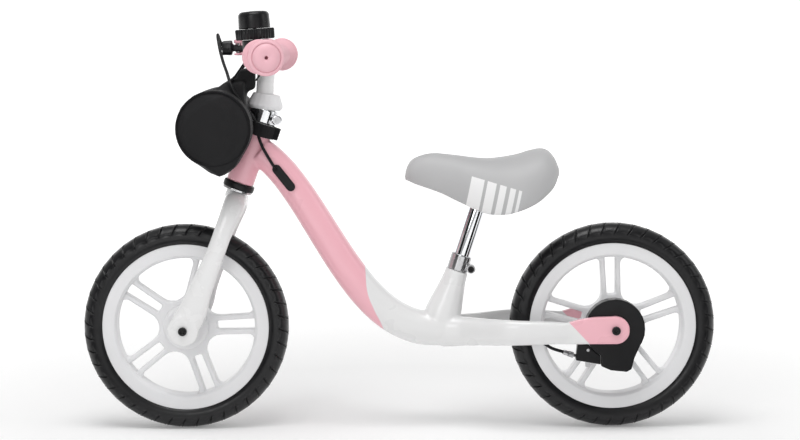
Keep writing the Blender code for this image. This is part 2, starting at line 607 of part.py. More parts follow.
# ------------------------------------------------------------------ bell
def bell():
    """Base on the bar, twist ring, dome and the striker that the ring carries."""
    bar_at = Matrix.Translation(bar_point(BELL_Y, 1))
    at = bar_at @ Matrix.Translation((0.0040, 0, 0)) @ Matrix.Rotation(BELL_LEAN, 4, 'Y')
    low = BAR_RADIUS + 0.0120
    saddle = rod("bell_base", 0.0185, 0.004, low, BLACK, at, 20)
    band = rod("bell_band", BAR_RADIUS + 0.003, -0.009, 0.009, BLACK, bar_at @ TO_LEFT, 16)
    spindle = rod("bell_spindle", 0.003, 0.004, low + 0.037, BLACK, at, 10)
    join(saddle, band, spindle)
    cut(saddle, bore("bell_bar_bore", BAR_RADIUS + GAP, -0.03, 0.03, bar_at @ TO_LEFT, 16))
    ring_low, ring_high = low + GAP, low + 0.015
    twist = turned("bell_ring", [(0.0036, ring_low), (0.0235, ring_low), (0.0240, ring_high),
                                 (0.0190, ring_high),
                                 (0.0190, ring_low + 0.003), (0.0036, ring_low + 0.003)], BLACK, at, 20)
    tab_low, tab_high = ring_low + 0.002, ring_high - 0.001
    for side, way in (("front", 1), ("back", -1)):
        outline = [(way * 0.0225, -0.006), (way * 0.0275, -0.004), (way * 0.0275, 0.004),
                   (way * 0.0225, 0.006)]
        tab = lofted(f"bell_tab_{side}", [[(x, y, tab_low) for x, y in outline],
                                          [(x, y, tab_high) for x, y in outline]], BLACK, at)
        join(twist, tab)
    dome_low = ring_high + GAP
    top = dome_low + 0.0240
    wall = 0.0014
    outer = [(0.0215, dome_low), (0.0210, top - 0.0060), (0.0165, top - 0.0008)]
    inner = [(0.0160, top - wall - 0.001), (0.0196, top - 0.0070), (0.0201, dome_low)]
    dome = turned("bell_dome", outer + [(0.0036, top), (0.0036, top - wall)] + inner, BLACK, at, 24)
    arm = at @ Matrix.Translation((0.011, 0, ring_low + 0.003 + GAP))
    striker = turned("bell_striker", [(0, 0), (0.0018, 0), (0.0018, 0.013), (0.0034, 0.0155),
                                      (0.0034, 0.0180),
                                      (0, 0.0195)], STEEL, arm, 10)
    return [saddle, dome], [twist, striker], at.translation


# ------------------------------------------------------------------ brake lever
LEVER_PIN = bar_point(-LEVER_Y, -1) + Vector((0.0375, 0, 0.0115))
LEVER_PIN_RADIUS = 0.0020
LEVER_ROOT_RADIUS = 0.0062


def brake_lever():
    """Perch on the right of the bar, lever blade in front of the grip, pin and cable adjuster."""
    centre = bar_point(-LEVER_Y, -1)
    at = Matrix.Translation(centre)
    perch = ring("lever_perch", BAR_RADIUS + GAP, BAR_RADIUS + 0.004, -0.009, 0.009, BLACK, at @ TO_LEFT,
                 18)
    neck_half_width, neck_half_height = 0.0036, 0.0050

    def neck(x, z, half_width, half_height):
        return oval((x, 0, z), (0, 1, 0), (0, 0, 1), half_width, half_height, 12, 3)

    arm = lofted("perch_arm", [neck(0.0120, 0.003, 0.0070, 0.0075),
                               neck(0.026, 0.009, neck_half_width, neck_half_height),
                               neck(0.0450, 0.0110, neck_half_width, neck_half_height),
                               neck(0.0464, 0.0110, 0.0088, 0.0108),
                               neck(0.0600, 0.0105, 0.0084, 0.0104)], BLACK, at)
    join(perch, arm)
    pin_at = Matrix.Translation(LEVER_PIN)
    cut(perch, bore("lever_pin_bore", LEVER_PIN_RADIUS + GAP, -0.02, 0.02, pin_at, 12))
    blade = rod("brake_lever", LEVER_ROOT_RADIUS, -0.0112, 0.0112, PINK, pin_at, 16)
    path = [Vector((0, -0.0030, 0)), Vector((0.001, -0.014, 0)), Vector((0.001, -0.032, -0.001)),
            Vector((-0.003, -0.060, -0.002)), Vector((-0.006, -0.088, -0.003))]
    sizes = [(0.0050, 0.0100), (0.0046, 0.0095), (0.0042, 0.0095), (0.0042, 0.0105), (0.0050, 0.0095)]
    join(blade, swept("lever_blade", [(p, a, b) for p, (a, b) in zip(path, sizes)], PINK, (1, 0, 0), 12,
                      2.6, pin_at))
    room = LEVER_PIN.z - neck_half_height - 0.0032, LEVER_PIN.z + neck_half_height + 0.0010
    side = neck_half_width + 0.0018
    slot = side_plate("lever_slot", [(LEVER_PIN.x - 0.012, room[0]), (LEVER_PIN.x + 0.012, room[0]),
                                     (LEVER_PIN.x + 0.012, room[1]), (LEVER_PIN.x - 0.012, room[1])],
                      LEVER_PIN.y - side, LEVER_PIN.y + 0.012, PINK)
    cut(blade, slot, bore("blade_bore", LEVER_PIN_RADIUS + GAP, -0.02, 0.02, pin_at, 12))
    pin = rod("lever_pin", LEVER_PIN_RADIUS, -0.0112, 0.0112, STEEL, pin_at, 12)
    start, after = Vector(CABLE_UPPER[0]), Vector(CABLE_UPPER[1])
    facing = (after - start).normalized().to_track_quat('Z', 'Y').to_matrix().to_4x4()
    barrel_at = Matrix.Translation(start) @ facing
    adjuster = turned("lever_adjuster", [(0, -0.0110), (0.0026, -0.0110), (0.0026, -0.0055),
                                         (0.0038, -0.0050), (0.0038, -0.0010), (0.0030, -GAP),
                                         (0, -GAP)], BLACK, barrel_at, 12)
    cut(perch, bore("adjuster_bore", 0.0026 + GAP, -0.0300, -0.0055, barrel_at, 14),
        bore("adjuster_room", 0.0038 + GAP, -0.0059, 0.0200, barrel_at, 14))
    return [perch, pin, adjuster], blade


# ------------------------------------------------------------------ cable
def beside(anchor, *offsets):
    """Points given by how far they lie from a joint or the middle of the bar."""
    return [anchor + Vector(offset) for offset in offsets]


CABLE_AT_BAR = beside(BAR_CENTRE, (0.0604, -0.0515, 0.0135), (0.0639, -0.0505, 0.0225),
              (0.0659, -0.0460, 0.0295), (0.0649, -0.0370, 0.0235), (0.0604, -0.0200, 0.0065),
              (0.0544, 0.0000, -0.0095), (0.0479, 0.0210, -0.0225), (0.0424, 0.0350, -0.0365))
CABLE_AT_HEAD = beside(HEAD_BASE, (0.0008, 0.0410, 0.1302), (-0.0092, 0.0385, 0.1152),
              (-0.0187, 0.0320, 0.1032), (-0.0249, 0.0250, 0.0922), (-0.0274, 0.0245, 0.0822),
              (-0.0297, 0.0244, 0.0712), (-0.0342, 0.0243, 0.0572), (-0.0404, 0.0246, 0.0452),
              (-0.0466, 0.0250, 0.0347), (-0.0500, 0.0248, 0.0290))
CABLE_UPPER = CABLE_AT_BAR + CABLE_AT_HEAD
CABLE_IN_BEAM = beside(HEAD_BASE, (-0.0502, 0.0248, 0.0287), (-0.0552, 0.0225, 0.0217),
              (-0.0642, 0.0170, 0.0107), (-0.0942, 0.0140, -0.0268), (-0.1272, 0.0140, -0.0808))
CABLE_AT_YOKE = beside(SEAT_FOOT_POINT, (0.1100, 0.0145, 0.0665), (0.0620, 0.0165, 0.0195),
              (0.0170, 0.0180, 0.0015), (-0.0210, 0.0190, -0.0015))
CABLE_AT_BRAKE = beside(REAR_AXLE, (0.1950, 0.0300, -0.0093), (0.1600, 0.0500, -0.0073),
              (0.1250, 0.0560, -0.0093), (0.1040, 0.0540, -0.0163), (0.0880, 0.0485, -0.0263),
              (0.0720, 0.0430, -0.0323))
CABLE_IN_FRAME = CABLE_IN_BEAM + CABLE_AT_YOKE + CABLE_AT_BRAKE


def grommet_shape(name, clearance):
    """The oval rubber plug in the left side of the beam, where the cable goes in."""
    half_length, half_height = 0.0220 + clearance, 0.0062 + clearance
    middle = HEAD_BASE + Vector((-0.0642, 0, 0.0117))
    tilt = math.radians(52)
    ahead, up = Vector((math.cos(tilt), 0, math.sin(tilt))), Vector((-math.sin(tilt), 0, math.cos(tilt)))
    straight = half_length - half_height
    outline = []
    for x, z in arc((straight, 0), half_height, -90, 90, 6) + arc((-straight, 0), half_height, 90, 270, 6):
        point = middle + ahead * x + up * z
        outline.append((point.x, point.z))
    return side_plate(name, outline, 0.0165 - clearance, 0.0262 if clearance == 0 else 0.0400, BLACK)


def cables():
    """The brake cable in two lengths, either side of the grommet, and the grommet itself."""
    upper = cord("brake_cable_upper", smooth_route(CABLE_UPPER, 2), CABLE_RADIUS, BLACK)
    lower = cord("brake_cable_lower", smooth_route(CABLE_IN_FRAME, 2), CABLE_RADIUS, BLACK)
    grommet = grommet_shape("cable_grommet", 0)
    cut(grommet, channel("grommet_bore", CABLE_UPPER[-3:-1] + CABLE_IN_FRAME[:4], CABLE_RADIUS + 3 * GAP,
                         BLACK))
    return upper, [lower, grommet]


# ------------------------------------------------------------------ band brake
ARM_PIN = REAR_AXLE + Vector((0.0370, 0, -0.0300))


def cover_clearance(at):
    """The round of the cover that the bracket stays clear of."""
    return bore("bracket_relief", COVER_RADIUS + GAP, 0.0, 0.0600, at, 32)


def brake():
    """Drum on the hub, fixed cover and bracket, band, arm, pin, spring and the cable adjuster."""
    x0, z0 = REAR_AXLE.x, REAR_AXLE.z
    at = Matrix.Translation(REAR_AXLE) @ TO_LEFT
    hub_face = HUB_HALF_WIDTH + GAP
    plate_inner = STAY_HALF_SPREAD - DROPOUT_HALF_THICKNESS - GAP - 0.003
    plate_outer = STAY_HALF_SPREAD - DROPOUT_HALF_THICKNESS - GAP
    drum_end = plate_inner - 0.0055
    drum = turned("brake_drum", [(0.0090, hub_face), (DRUM_RADIUS, hub_face), (DRUM_RADIUS, drum_end),
                                 (DRUM_RADIUS - 0.003, drum_end), (DRUM_RADIUS - 0.003, hub_face + 0.003),
                                 (0.0090, hub_face + 0.003)], STEEL, at, 24)
    lobe = [(x0 + 0.0180, z0 - 0.0250), (x0 + 0.0190, z0 - 0.0520), (x0 + 0.0050, z0 - 0.0580),
            (x0 - 0.0170, z0 - 0.0600), (x0 - 0.0235, z0 - 0.0560), (x0 - 0.0270, z0 - 0.0410),
            (x0 - 0.0350, z0 - 0.0230)]

    def shell(name, inset, inner_y, outer_y):
        body = rod(name, COVER_RADIUS - inset, inner_y, outer_y, BLACK, at, 28)
        middle = Vector((x0 - 0.004, 0, z0 - 0.042))
        shrink = 1 - inset / 0.020
        outline = [(middle.x + (x - middle.x) * shrink, middle.z + (z - middle.z) * shrink)
                   for x, z in lobe]
        join(body, side_plate(name + "_lobe", outline, inner_y, outer_y, BLACK))
        return body

    cover = shell("brake_cover", 0, BRAKE_INNER_Y, plate_outer)
    cut(cover, bore("cover_axle_bore", AXLE_RADIUS + GAP, -0.02, 0.09, at, 12),
        shell("cover_hollow", 0.0022, BRAKE_INNER_Y - 0.01, plate_inner))
    gap_angle = 18
    lining_in, band_out = DRUM_RADIUS + 0.0010, DRUM_RADIUS + 0.0036
    band_arc = arc((x0, z0), band_out, -90 + gap_angle, 270 - gap_angle, 22)
    band_back = arc((x0, z0), lining_in, 270 - gap_angle, -90 + gap_angle, 22)
    band = side_plate("brake_band", band_arc + band_back, BRAKE_INNER_Y + 0.003, drum_end - 0.001, STEEL)
    block = [(x0 + 0.0200, z0 - 0.0205), (x0 + 0.0520, z0 - 0.0225), (x0 + 0.0540, z0 - 0.0440),
             (x0 + 0.0200, z0 - 0.0500)]
    bracket = side_plate("brake_bracket", block, 0.0320, 0.0466, BLACK)
    slot = [(x0 + 0.0310, z0 - 0.0250), (x0 + 0.0440, z0 - 0.0252), (x0 + 0.0440, z0 - 0.0600),
            (x0 + 0.0310, z0 - 0.0600)]
    cut(bracket, side_plate("bracket_slot", slot, 0.0355, 0.0430, BLACK))
    cut(bracket, cover_clearance(at))
    pin_place = ARM_PIN
    pin = rod("brake_arm_pin", 0.0020, 0.0330, 0.0456, STEEL, Matrix.Translation(pin_place) @ TO_LEFT, 12)
    cut(bracket, bore("arm_pin_bore", 0.0020 + GAP, 0.0300, 0.0500,
                      Matrix.Translation(pin_place) @ TO_LEFT, 12))
    arm_outline = arc((pin_place.x, pin_place.z), 0.0042, 20, 160, 5) + \
        [(pin_place.x - 0.0030, pin_place.z - 0.0240), (pin_place.x + 0.0030, pin_place.z - 0.0240)]
    arm = side_plate("brake_arm", arm_outline, 0.0370, 0.0415, STEEL)
    cut(arm, bore("arm_bore", 0.0020 + GAP, 0.0300, 0.0500, Matrix.Translation(pin_place) @ TO_LEFT, 12))
    start, before = Vector(CABLE_IN_FRAME[-1]), Vector(CABLE_IN_FRAME[-2])
    direction = (start - before).normalized()
    adjuster_at = Matrix.Translation(start) @ direction.to_track_quat('Z', 'Y').to_matrix().to_4x4()
    adjuster = turned("brake_adjuster", [(0, GAP), (0.0032, GAP), (0.0036, 0.0030), (0.0036, 0.0075),
                                         (0.0024, 0.0080),
                                         (0.0024, 0.0240), (0, 0.0240)], STEEL, adjuster_at, 14)
    cut(bracket, bore("adjuster_hole", 0.0024 + GAP, 0.0, 0.0300, adjuster_at, 14))
    spring = ring("brake_spring", 0.0024 + GAP, 0.0046, 0.0080 + GAP, 0.0165, STEEL, adjuster_at, 16)
    return drum, [cover, band, bracket, pin, adjuster, spring], arm


# ------------------------------------------------------------------ bag
BAG_CENTRE = BAR_CENTRE + Vector((0.0619, 0, -0.0975))
BAG_TOP = BAG_CENTRE.z + 0.0630


def bag():
    """The soft roll bag in front of the stem, hollowed at the back for the head tube and the cable."""
    x, z = BAG_CENTRE.x, BAG_CENTRE.z
    outline = arc((x, z), BAG_RADIUS, 60, 215, 13)
    outline += [(x - 0.0300, z - 0.0520), (x - 0.0080, z - 0.0660)]
    outline += arc((x, z), BAG_RADIUS, 290, 405, 9)
    body = side_plate("bag", outline, -BAG_HALF_LENGTH, BAG_HALF_LENGTH, CLOTH)
    cut(body, bore("bag_recess", 0.0400, -0.10, 0.20, STEER, 20))
    flap = [(x - 0.0380, z + 0.0200), (x - 0.0390, BAG_TOP), (x - 0.0120, BAG_TOP),
            (x + 0.0100, z + 0.0450)]
    join(body, side_plate("bag_flap", flap, -0.034, 0.034, CLOTH))
    stem_front = STEM_TOP.x + STEM_RADIUS + 0.0044
    tongue = [(stem_front, BAG_TOP - 0.0125), (x - 0.0200, BAG_TOP - 0.0125),
              (x - 0.0160, BAG_TOP + 0.001), (x - 0.0330, BAG_TOP + 0.0175), (stem_front, BAG_TOP + 0.0175)]
    join(body, side_plate("bag_tongue", tongue, -0.013, 0.013, CLOTH))
    cut(body, channel("bag_cable_room", CABLE_UPPER, 0.0065, CLOTH))
    return body


def strap_loop(side, y):
    """A webbing loop from the top of the bag round the handlebar."""
    c = bar_point(abs(y), 1)
    low = BAG_TOP + GAP
    inner_radius = BAR_RADIUS + 0.0017
    front, back = 35, 235
    edges = []
    for radius in (inner_radius + STRAP_THICKNESS, inner_radius):
        edge = arc((c.x, c.z), radius, front, back, 12)
        (fx, fz), (bx, bz) = edge[0], edge[-1]
        fx += (fz - low) * math.tan(math.radians(front))
        bx += (bz - low) / math.tan(math.radians(back - 180))
        edges.append([(fx, low)] + edge + [(bx, low)])
    outer, inner = edges
    return side_plate(f"bag_strap_{side}", outer + inner[::-1], y - 0.007, y + 0.007, CLOTH)


def head_strap():
    """The lower strap round the top of the head tube, bulged over the cable, with its loose tail."""
    low, high = HEAD_TUBE_LENGTH - 0.0030, CLAMP_LOW - 0.0012
    inner = HEAD_CUP_RADIUS + GAP
    bulge, bulge_at, bulge_width = 0.0074, math.radians(86), math.radians(34)

    def prism(name, extra, z0, z1):
        sections = []
        for z in (z0, z1):
            section = []
            for step in range(28):
                angle = 2 * math.pi * step / 28
                radius = inner + extra + bulge * math.exp(-((angle - bulge_at) / bulge_width) ** 2)
                section.append((radius * math.cos(angle), radius * math.sin(angle), z))
            sections.append(section)
        return lofted(name, sections, CLOTH, STEER)

    body = prism("head_strap", STRAP_THICKNESS, low, high)
    back = -(inner + STRAP_THICKNESS)
    tail_outline = [(back + 0.002, -0.008), (back + 0.002, 0.008), (back - 0.0055, 0.007),
                    (back - 0.0055, -0.007)]
    tail = lofted("strap_tail", [[(x, y, low + 0.001) for x, y in tail_outline],
                                 [(x, y, high) for x, y in tail_outline]], CLOTH, STEER)
    join(body, tail)
    cut(body, prism("head_strap_bore", 0, low - 0.01, high + 0.01))
    return body


# ------------------------------------------------------------------ seat
SEAT_CLAMP_HEIGHT = 0.0225
SEAT_CLAMP_RADIUS = 0.0148
POST_FOOT = 0.045                   # foot of the post, above the foot of the seat tube
POST_TOP = 0.212
SEAT_SECTIONS = [                   # back from the post's top, height of top and bottom, half width
    (0.1105, 0.3580, 0.3510, 0.012), (0.0995, 0.3720, 0.3460, 0.021), (0.0795, 0.3855, 0.3400, 0.027),
    (0.0545, 0.3865, 0.3290, 0.033), (0.0245, 0.3815, 0.3140, 0.044), (-0.0055, 0.3798, 0.3030, 0.057),
    (-0.0305, 0.3830, 0.3000, 0.065), (-0.0555, 0.3885, 0.3055, 0.068), (-0.0785, 0.3937, 0.3200, 0.063),
    (-0.0945, 0.3860, 0.3370, 0.049), (-0.1035, 0.3700, 0.3520, 0.028)]
CUSHION_WALL = 0.009
CUSHION_CROWN = 0.030
PAN_LIFT = 0.008                    # underside of the pan above the cushion's edge


def seat_clamp():
    """The pinch ring on top of the seat tube, with its bolt at the back."""
    low = SEAT_TUBE_LENGTH + GAP
    clamp = ring("seat_clamp", SEAT_POST_RADIUS + RUN, SEAT_CLAMP_RADIUS, low, low + SEAT_CLAMP_HEIGHT,
                 STEEL, SEAT, 20)
    ear_at = SEAT @ Matrix.Translation((-SEAT_CLAMP_RADIUS - 0.003, 0, low + 0.0075)) @ TO_LEFT
    join(clamp, rod("seat_clamp_ears", 0.0064, -0.0115, 0.0115, STEEL, ear_at, 18))
    cut(clamp, bore("seat_bolt_bore", 0.0026 + GAP, -0.02, 0.02, ear_at, 14),
        bore("seat_clamp_bore", SEAT_POST_RADIUS + RUN, 0.05, 0.15, SEAT, 20))
    face, top = 0.0115 + GAP, 0.0160
    bolt = turned("seat_clamp_bolt", [(0, -0.0135), (0.0026, -0.0135), (0.0026, face), (0.0046, face),
                                      (0.0046, top), (0.0022, top), (0.0022, top - 0.0025),
                                      (0, top - 0.0025)], BLACK, ear_at, 16)
    return clamp, bolt


def seat():
    """Chrome post, the pan it is fixed in and the moulded cushion over the pan."""
    post = ring("seat_post", SEAT_POST_RADIUS - 0.0015, SEAT_POST_RADIUS, POST_FOOT, POST_TOP, CHROME,
                SEAT, 20)
    top_x = (SEAT @ Vector((0, 0, POST_TOP))).x

    inside = SEAT_SECTIONS[2:-2]

    def shell(name, wall, sections, crown, edge, finish):
        """A cushion shape, its walls and crown thinned, cut off level with its lower edge."""
        rings, below = [], []
        for forward, top, bottom, half_width in sections:
            low, high = bottom - 0.2 * (top - bottom), top - crown
            rings.append(oval((top_x + forward, 0, (low + high) / 2), (0, 1, 0), (0, 0, 1),
                              half_width - wall, (high - low) / 2, 16, 2.5))
            below.append([(top_x + forward, y, z) for y, z in
                          ((-0.1, 0.2), (0.1, 0.2), (0.1, bottom + edge), (-0.1, bottom + edge))])
        body = lofted(name, rings, finish)
        first, last = below[0], below[-1]
        below[0] = [(x + 0.01, y, z) for x, y, z in first]
        below[-1] = [(x - 0.01, y, z) for x, y, z in last]
        cut(body, lofted(name + "_underside", below, finish))
        return body

    cushion = shell("seat_cushion", 0, SEAT_SECTIONS, 0, 0, GREY)
    cut(cushion, shell("pan_room", CUSHION_WALL, inside, CUSHION_CROWN, -0.015, GREY))
    pan = shell("seat_pan", CUSHION_WALL + 0.0006, inside[1:-1], CUSHION_CROWN + 0.0012, PAN_LIFT, BLACK)
    cut(pan, bore("pan_bore", SEAT_POST_RADIUS + GAP, POST_TOP - 0.08, POST_TOP + GAP, SEAT, 20))
    return [post, pan, cushion]


# ------------------------------------------------------------------ assembly
def build():
    """Make every piece and hang the moving ones on their axes."""
    for obj in list(bpy.data.objects):
        bpy.data.objects.remove(obj)
    frame()
    fixed_headset, race = headset()
    steering = pivot("steering_axis", STEER)
    hang(steering, race, fork())
    front_inner = FORK_HALF_SPREAD - FORK_TIP_HALF_THICKNESS - GAP
    spacer_start = HUB_HALF_WIDTH + GAP
    hang(steering, *axle_set("front", FRONT_AXLE, FORK_HALF_SPREAD + FORK_TIP_HALF_THICKNESS,
                             {"left": (spacer_start, front_inner), "right": (spacer_start, front_inner)}))
    hang(steering, *stem_clamp())
    stem_slide = pivot("stem_slide_axis", STEER)
    lever_parts, blade = brake_lever()
    bell_fixed, bell_moving, bell_centre = bell()
    hang(stem_slide, handlebar(), stem_collar(), grip("left", 1), grip("right", -1), *lever_parts,
         *bell_fixed,
         bag(), strap_loop("left", 0.024), strap_loop("right", -0.024))
    hang(pivot("bell_axis", Matrix.Translation(bell_centre)), *bell_moving)
    hang(pivot("lever_axis", Matrix.Translation(LEVER_PIN)), blade)
    hang(pivot("front_wheel_axis", Matrix.Translation(FRONT_AXLE)),
         *wheel("front", FRONT_AXLE, FRONT_SPOKE_TURN))
    drum, brake_fixed, arm = brake()
    hang(pivot("rear_wheel_axis", Matrix.Translation(REAR_AXLE)), drum,
         *wheel("rear", REAR_AXLE, REAR_SPOKE_TURN))
    hang(pivot("brake_arm_axis", Matrix.Translation(ARM_PIN)), arm)
    stay_face = STAY_HALF_SPREAD - DROPOUT_HALF_THICKNESS
    axle_set("rear", REAR_AXLE, STAY_HALF_SPREAD + DROPOUT_HALF_THICKNESS,
             {"left": (spacer_start, stay_face - 0.0036), "right": (spacer_start, stay_face - GAP)})
    hang(pivot("seat_slide_axis", SEAT), *seat())
    seat_clamp()
    cables()
    head_strap()


build()
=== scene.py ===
"""A child's balance bike: the finished surfaces of every piece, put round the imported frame."""
import bpy
import bmesh
import math
import numpy as np
from mathutils import Matrix, Vector
from mathutils.geometry import delaunay_2d_cdt


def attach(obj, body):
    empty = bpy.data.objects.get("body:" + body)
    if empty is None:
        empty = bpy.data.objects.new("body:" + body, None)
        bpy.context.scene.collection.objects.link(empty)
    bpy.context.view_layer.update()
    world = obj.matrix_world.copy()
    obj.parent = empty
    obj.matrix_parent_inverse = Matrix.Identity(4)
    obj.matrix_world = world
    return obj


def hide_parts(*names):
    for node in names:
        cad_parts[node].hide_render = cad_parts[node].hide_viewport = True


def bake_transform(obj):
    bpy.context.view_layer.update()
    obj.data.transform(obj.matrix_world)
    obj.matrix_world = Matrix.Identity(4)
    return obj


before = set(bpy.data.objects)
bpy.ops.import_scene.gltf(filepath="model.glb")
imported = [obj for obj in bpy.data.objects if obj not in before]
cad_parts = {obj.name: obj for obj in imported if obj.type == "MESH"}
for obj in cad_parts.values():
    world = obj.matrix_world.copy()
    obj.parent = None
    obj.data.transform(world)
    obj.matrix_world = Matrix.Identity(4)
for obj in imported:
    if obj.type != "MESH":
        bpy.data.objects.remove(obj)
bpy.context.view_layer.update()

# ------------------------------------------------------------------ studio
# A seamless sheet of pale paper curves up behind the bike. The light is one wide softbox overhead and
# in front, with a weaker one to each side, and the camera stands low and square to the bike's left side.
scene = bpy.context.scene
scene.view_settings.view_transform = 'Standard'
camera = bpy.data.objects.new("camera", bpy.data.cameras.new("camera"))
scene.collection.objects.link(camera)
scene.camera = camera
CAMERA_PITCH = math.radians(5.5)
CAMERA_DISTANCE = 2.8
AIM = Vector((-0.0017, 0, 0.293))
camera.data.sensor_width = 36
camera.data.lens = 89.6
camera.location = AIM + Vector((0, math.cos(CAMERA_PITCH), math.sin(CAMERA_PITCH))) * CAMERA_DISTANCE
camera.rotation_euler = (math.pi / 2 - CAMERA_PITCH, 0, math.pi)
camera.rotation_euler.rotate_axis('Z', math.radians(-0.19))


def softbox(name, place, aim, size, power):
    """A square area light at a place, turned to a point."""
    light = bpy.data.lights.new(name, 'AREA')
    light.size = size
    light.energy = power
    lamp = bpy.data.objects.new(name, light)
    scene.collection.objects.link(lamp)
    lamp.location = place
    lamp.rotation_euler = (Vector(aim) - Vector(place)).to_track_quat('-Z', 'Y').to_euler()


softbox("light_over", (0.3, 0.7, 2.7), (0, 0, 0.3), 1.6, 40)
softbox("light_front", (0.9, 2.4, 1.0), (0.1, 0, 0.3), 0.9, 9)
softbox("light_rear", (-2.2, 0.6, 1.1), (-0.1, 0, 0.3), 1.3, 6)

# Two tall dark flags beside the camera, seen only in polished surfaces, give the chrome its dark bands.
flag_cloth = bpy.data.materials.new("studio_flag")
flag_cloth.use_nodes = True
flag_shader = flag_cloth.node_tree.nodes["Principled BSDF"]
flag_shader.inputs["Base Color"].default_value = (0.01, 0.01, 0.01, 1)
flag_shader.inputs["Specular IOR Level"].default_value = 0
for side, (near, far) in (("left", (34, 66)), ("right", (-34, -66))):
    corners = [(r * math.sin(math.radians(a)), r * math.cos(math.radians(a)), z)
               for r, z in ((0.42, 0.001), (2.0, 0.001), (2.0, 4.0)) for a in (near, far)]
    card = bpy.data.meshes.new("studio_flag_" + side)
    card.from_pydata(corners, [], [(0, 1, 3, 2), (2, 3, 5, 4)])
    card.materials.append(flag_cloth)
    flag = bpy.data.objects.new("studio_flag_" + side, card)
    scene.collection.objects.link(flag)
    flag.visible_camera = flag.visible_diffuse = flag.visible_shadow = flag.visible_transmission = False
world = bpy.data.worlds.new("studio")
scene.world = world
world.use_nodes = True
world.node_tree.nodes["Background"].inputs["Color"].default_value = (1, 1, 1, 1)
world.node_tree.nodes["Background"].inputs["Strength"].default_value = 0.40

# The paper lights itself a little more with distance, so that it runs out to white all round the bike.
paper = bpy.data.materials.new("studio_paper")
paper.use_nodes = True
paper_shader = paper.node_tree.nodes["Principled BSDF"]
paper_shader.inputs["Base Color"].default_value = (0.80, 0.80, 0.80, 1)
paper_shader.inputs["Emission Color"].default_value = (1, 1, 1, 1)
paper_place = paper.node_tree.nodes.new("ShaderNodeTexCoord")
paper_reach = paper.node_tree.nodes.new("ShaderNodeVectorMath")
paper_reach.operation = 'LENGTH'
paper_glow = paper.node_tree.nodes.new("ShaderNodeMapRange")
for socket, value in (("From Min", 0.5), ("From Max", 1.8), ("To Min", 0.17), ("To Max", 0.66)):
    paper_glow.inputs[socket].default_value = value
paper.node_tree.links.new(paper_place.outputs["Object"], paper_reach.inputs[0])
paper.node_tree.links.new(paper_reach.outputs["Value"], paper_glow.inputs["Value"])
paper.node_tree.links.new(paper_glow.outputs["Result"], paper_shader.inputs["Emission Strength"])
paper_shader.inputs["Roughness"].default_value = 0.9
curve_radius, back_y, half_width = 1.2, -8.0, 12.0
line = [(8.0, 0.0)] + [(back_y - curve_radius * math.sin(t), curve_radius * (1 - math.cos(t)))
                       for t in np.linspace(0, math.pi / 2, 12)] + [(back_y - curve_radius, 6.0)]
sheet = bpy.data.meshes.new("studio_floor")
sheet.from_pydata([(x, y, z - 0.0004) for y, z in line for x in (half_width, -half_width)], [],
                  [(2 * i, 2 * i + 1, 2 * i + 3, 2 * i + 2) for i in range(len(line) - 1)])
sheet.materials.append(paper)
sheet.polygons.foreach_set("use_smooth", [True] * len(sheet.polygons))
floor = bpy.data.objects.new("studio_floor", sheet)
scene.collection.objects.link(floor)

# ------------------------------------------------------------------ frame
# A hydroformed steel beam welded to the head tube, seat tube and two stays, powder coated under a clear
# lacquer: rose over the front half and the dropouts, white from the foot of the beam back.
LACQUER_ROUGHNESS = 0.07


def surface(name, rough, metal=0.0, coat=0.0, sheen=0.0, specular=0.5):
    """A new material with its fixed numbers on the shader's own sockets."""
    material = bpy.data.materials.new(name)
    material.use_nodes = True
    shader = material.node_tree.nodes["Principled BSDF"]
    shader.inputs["Roughness"].default_value = rough
    shader.inputs["Metallic"].default_value = metal
    shader.inputs["Coat Weight"].default_value = coat
    shader.inputs["Coat Roughness"].default_value = LACQUER_ROUGHNESS
    shader.inputs["Sheen Weight"].default_value = sheen
    shader.inputs["Specular IOR Level"].default_value = specular
    return material


def node(material, kind, **values):
    """A node in a material, with its own settings given by name."""
    made = material.node_tree.nodes.new(kind)
    for key, value in values.items():
        setattr(made, key, value)
    return made


def link(material, source, target):
    """A wire from one socket of a material to another."""
    material.node_tree.links.new(source, target)


def place_noise(material, scale, detail=3.0, stretch=(1, 1, 1)):
    """Noise fixed to the object's own metres, stretched along its axes; gives the noise node."""
    coords = node(material, "ShaderNodeTexCoord")
    mapping = node(material, "ShaderNodeMapping")
    mapping.inputs["Scale"].default_value = stretch
    noise = node(material, "ShaderNodeTexNoise")
    noise.inputs["Scale"].default_value = scale
    noise.inputs["Detail"].default_value = detail
    link(material, coords.outputs["Object"], mapping.inputs["Vector"])
    link(material, mapping.outputs["Vector"], noise.inputs["Vector"])
    return noise


def vary_colour(material, colour, amount, scale):
    """Colour that drifts a little lighter and darker over the surface."""
    noise = place_noise(material, scale)
    mix = node(material, "ShaderNodeMix", data_type='RGBA')
    mix.inputs[6].default_value = (*[c * (1 - amount) for c in colour], 1)
    mix.inputs[7].default_value = (*[min(1.0, c * (1 + amount)) for c in colour], 1)
    link(material, noise.outputs["Fac"], mix.inputs[0])
    link(material, mix.outputs[2], material.node_tree.nodes["Principled BSDF"].inputs["Base Color"])


def vary_roughness(material, low, high, scale):
    """Roughness that drifts between two values."""
    noise = place_noise(material, scale)
    spread = node(material, "ShaderNodeMapRange")
    for socket, value in (("From Min", 0.35), ("From Max", 0.65), ("To Min", low), ("To Max", high)):
        spread.inputs[socket].default_value = value
    link(material, noise.outputs["Fac"], spread.inputs["Value"])
    link(material, spread.outputs["Result"], material.node_tree.nodes["Principled BSDF"].inputs["Roughness"])


def add_bump(material, height, strength, distance):
    """Bump from a height socket into the shader's normal."""
    bump = node(material, "ShaderNodeBump")
    bump.inputs["Strength"].default_value = strength
    bump.inputs["Distance"].default_value = distance
    link(material, height, bump.inputs["Height"])
    link(material, bump.outputs["Normal"], material.node_tree.nodes["Principled BSDF"].inputs["Normal"])


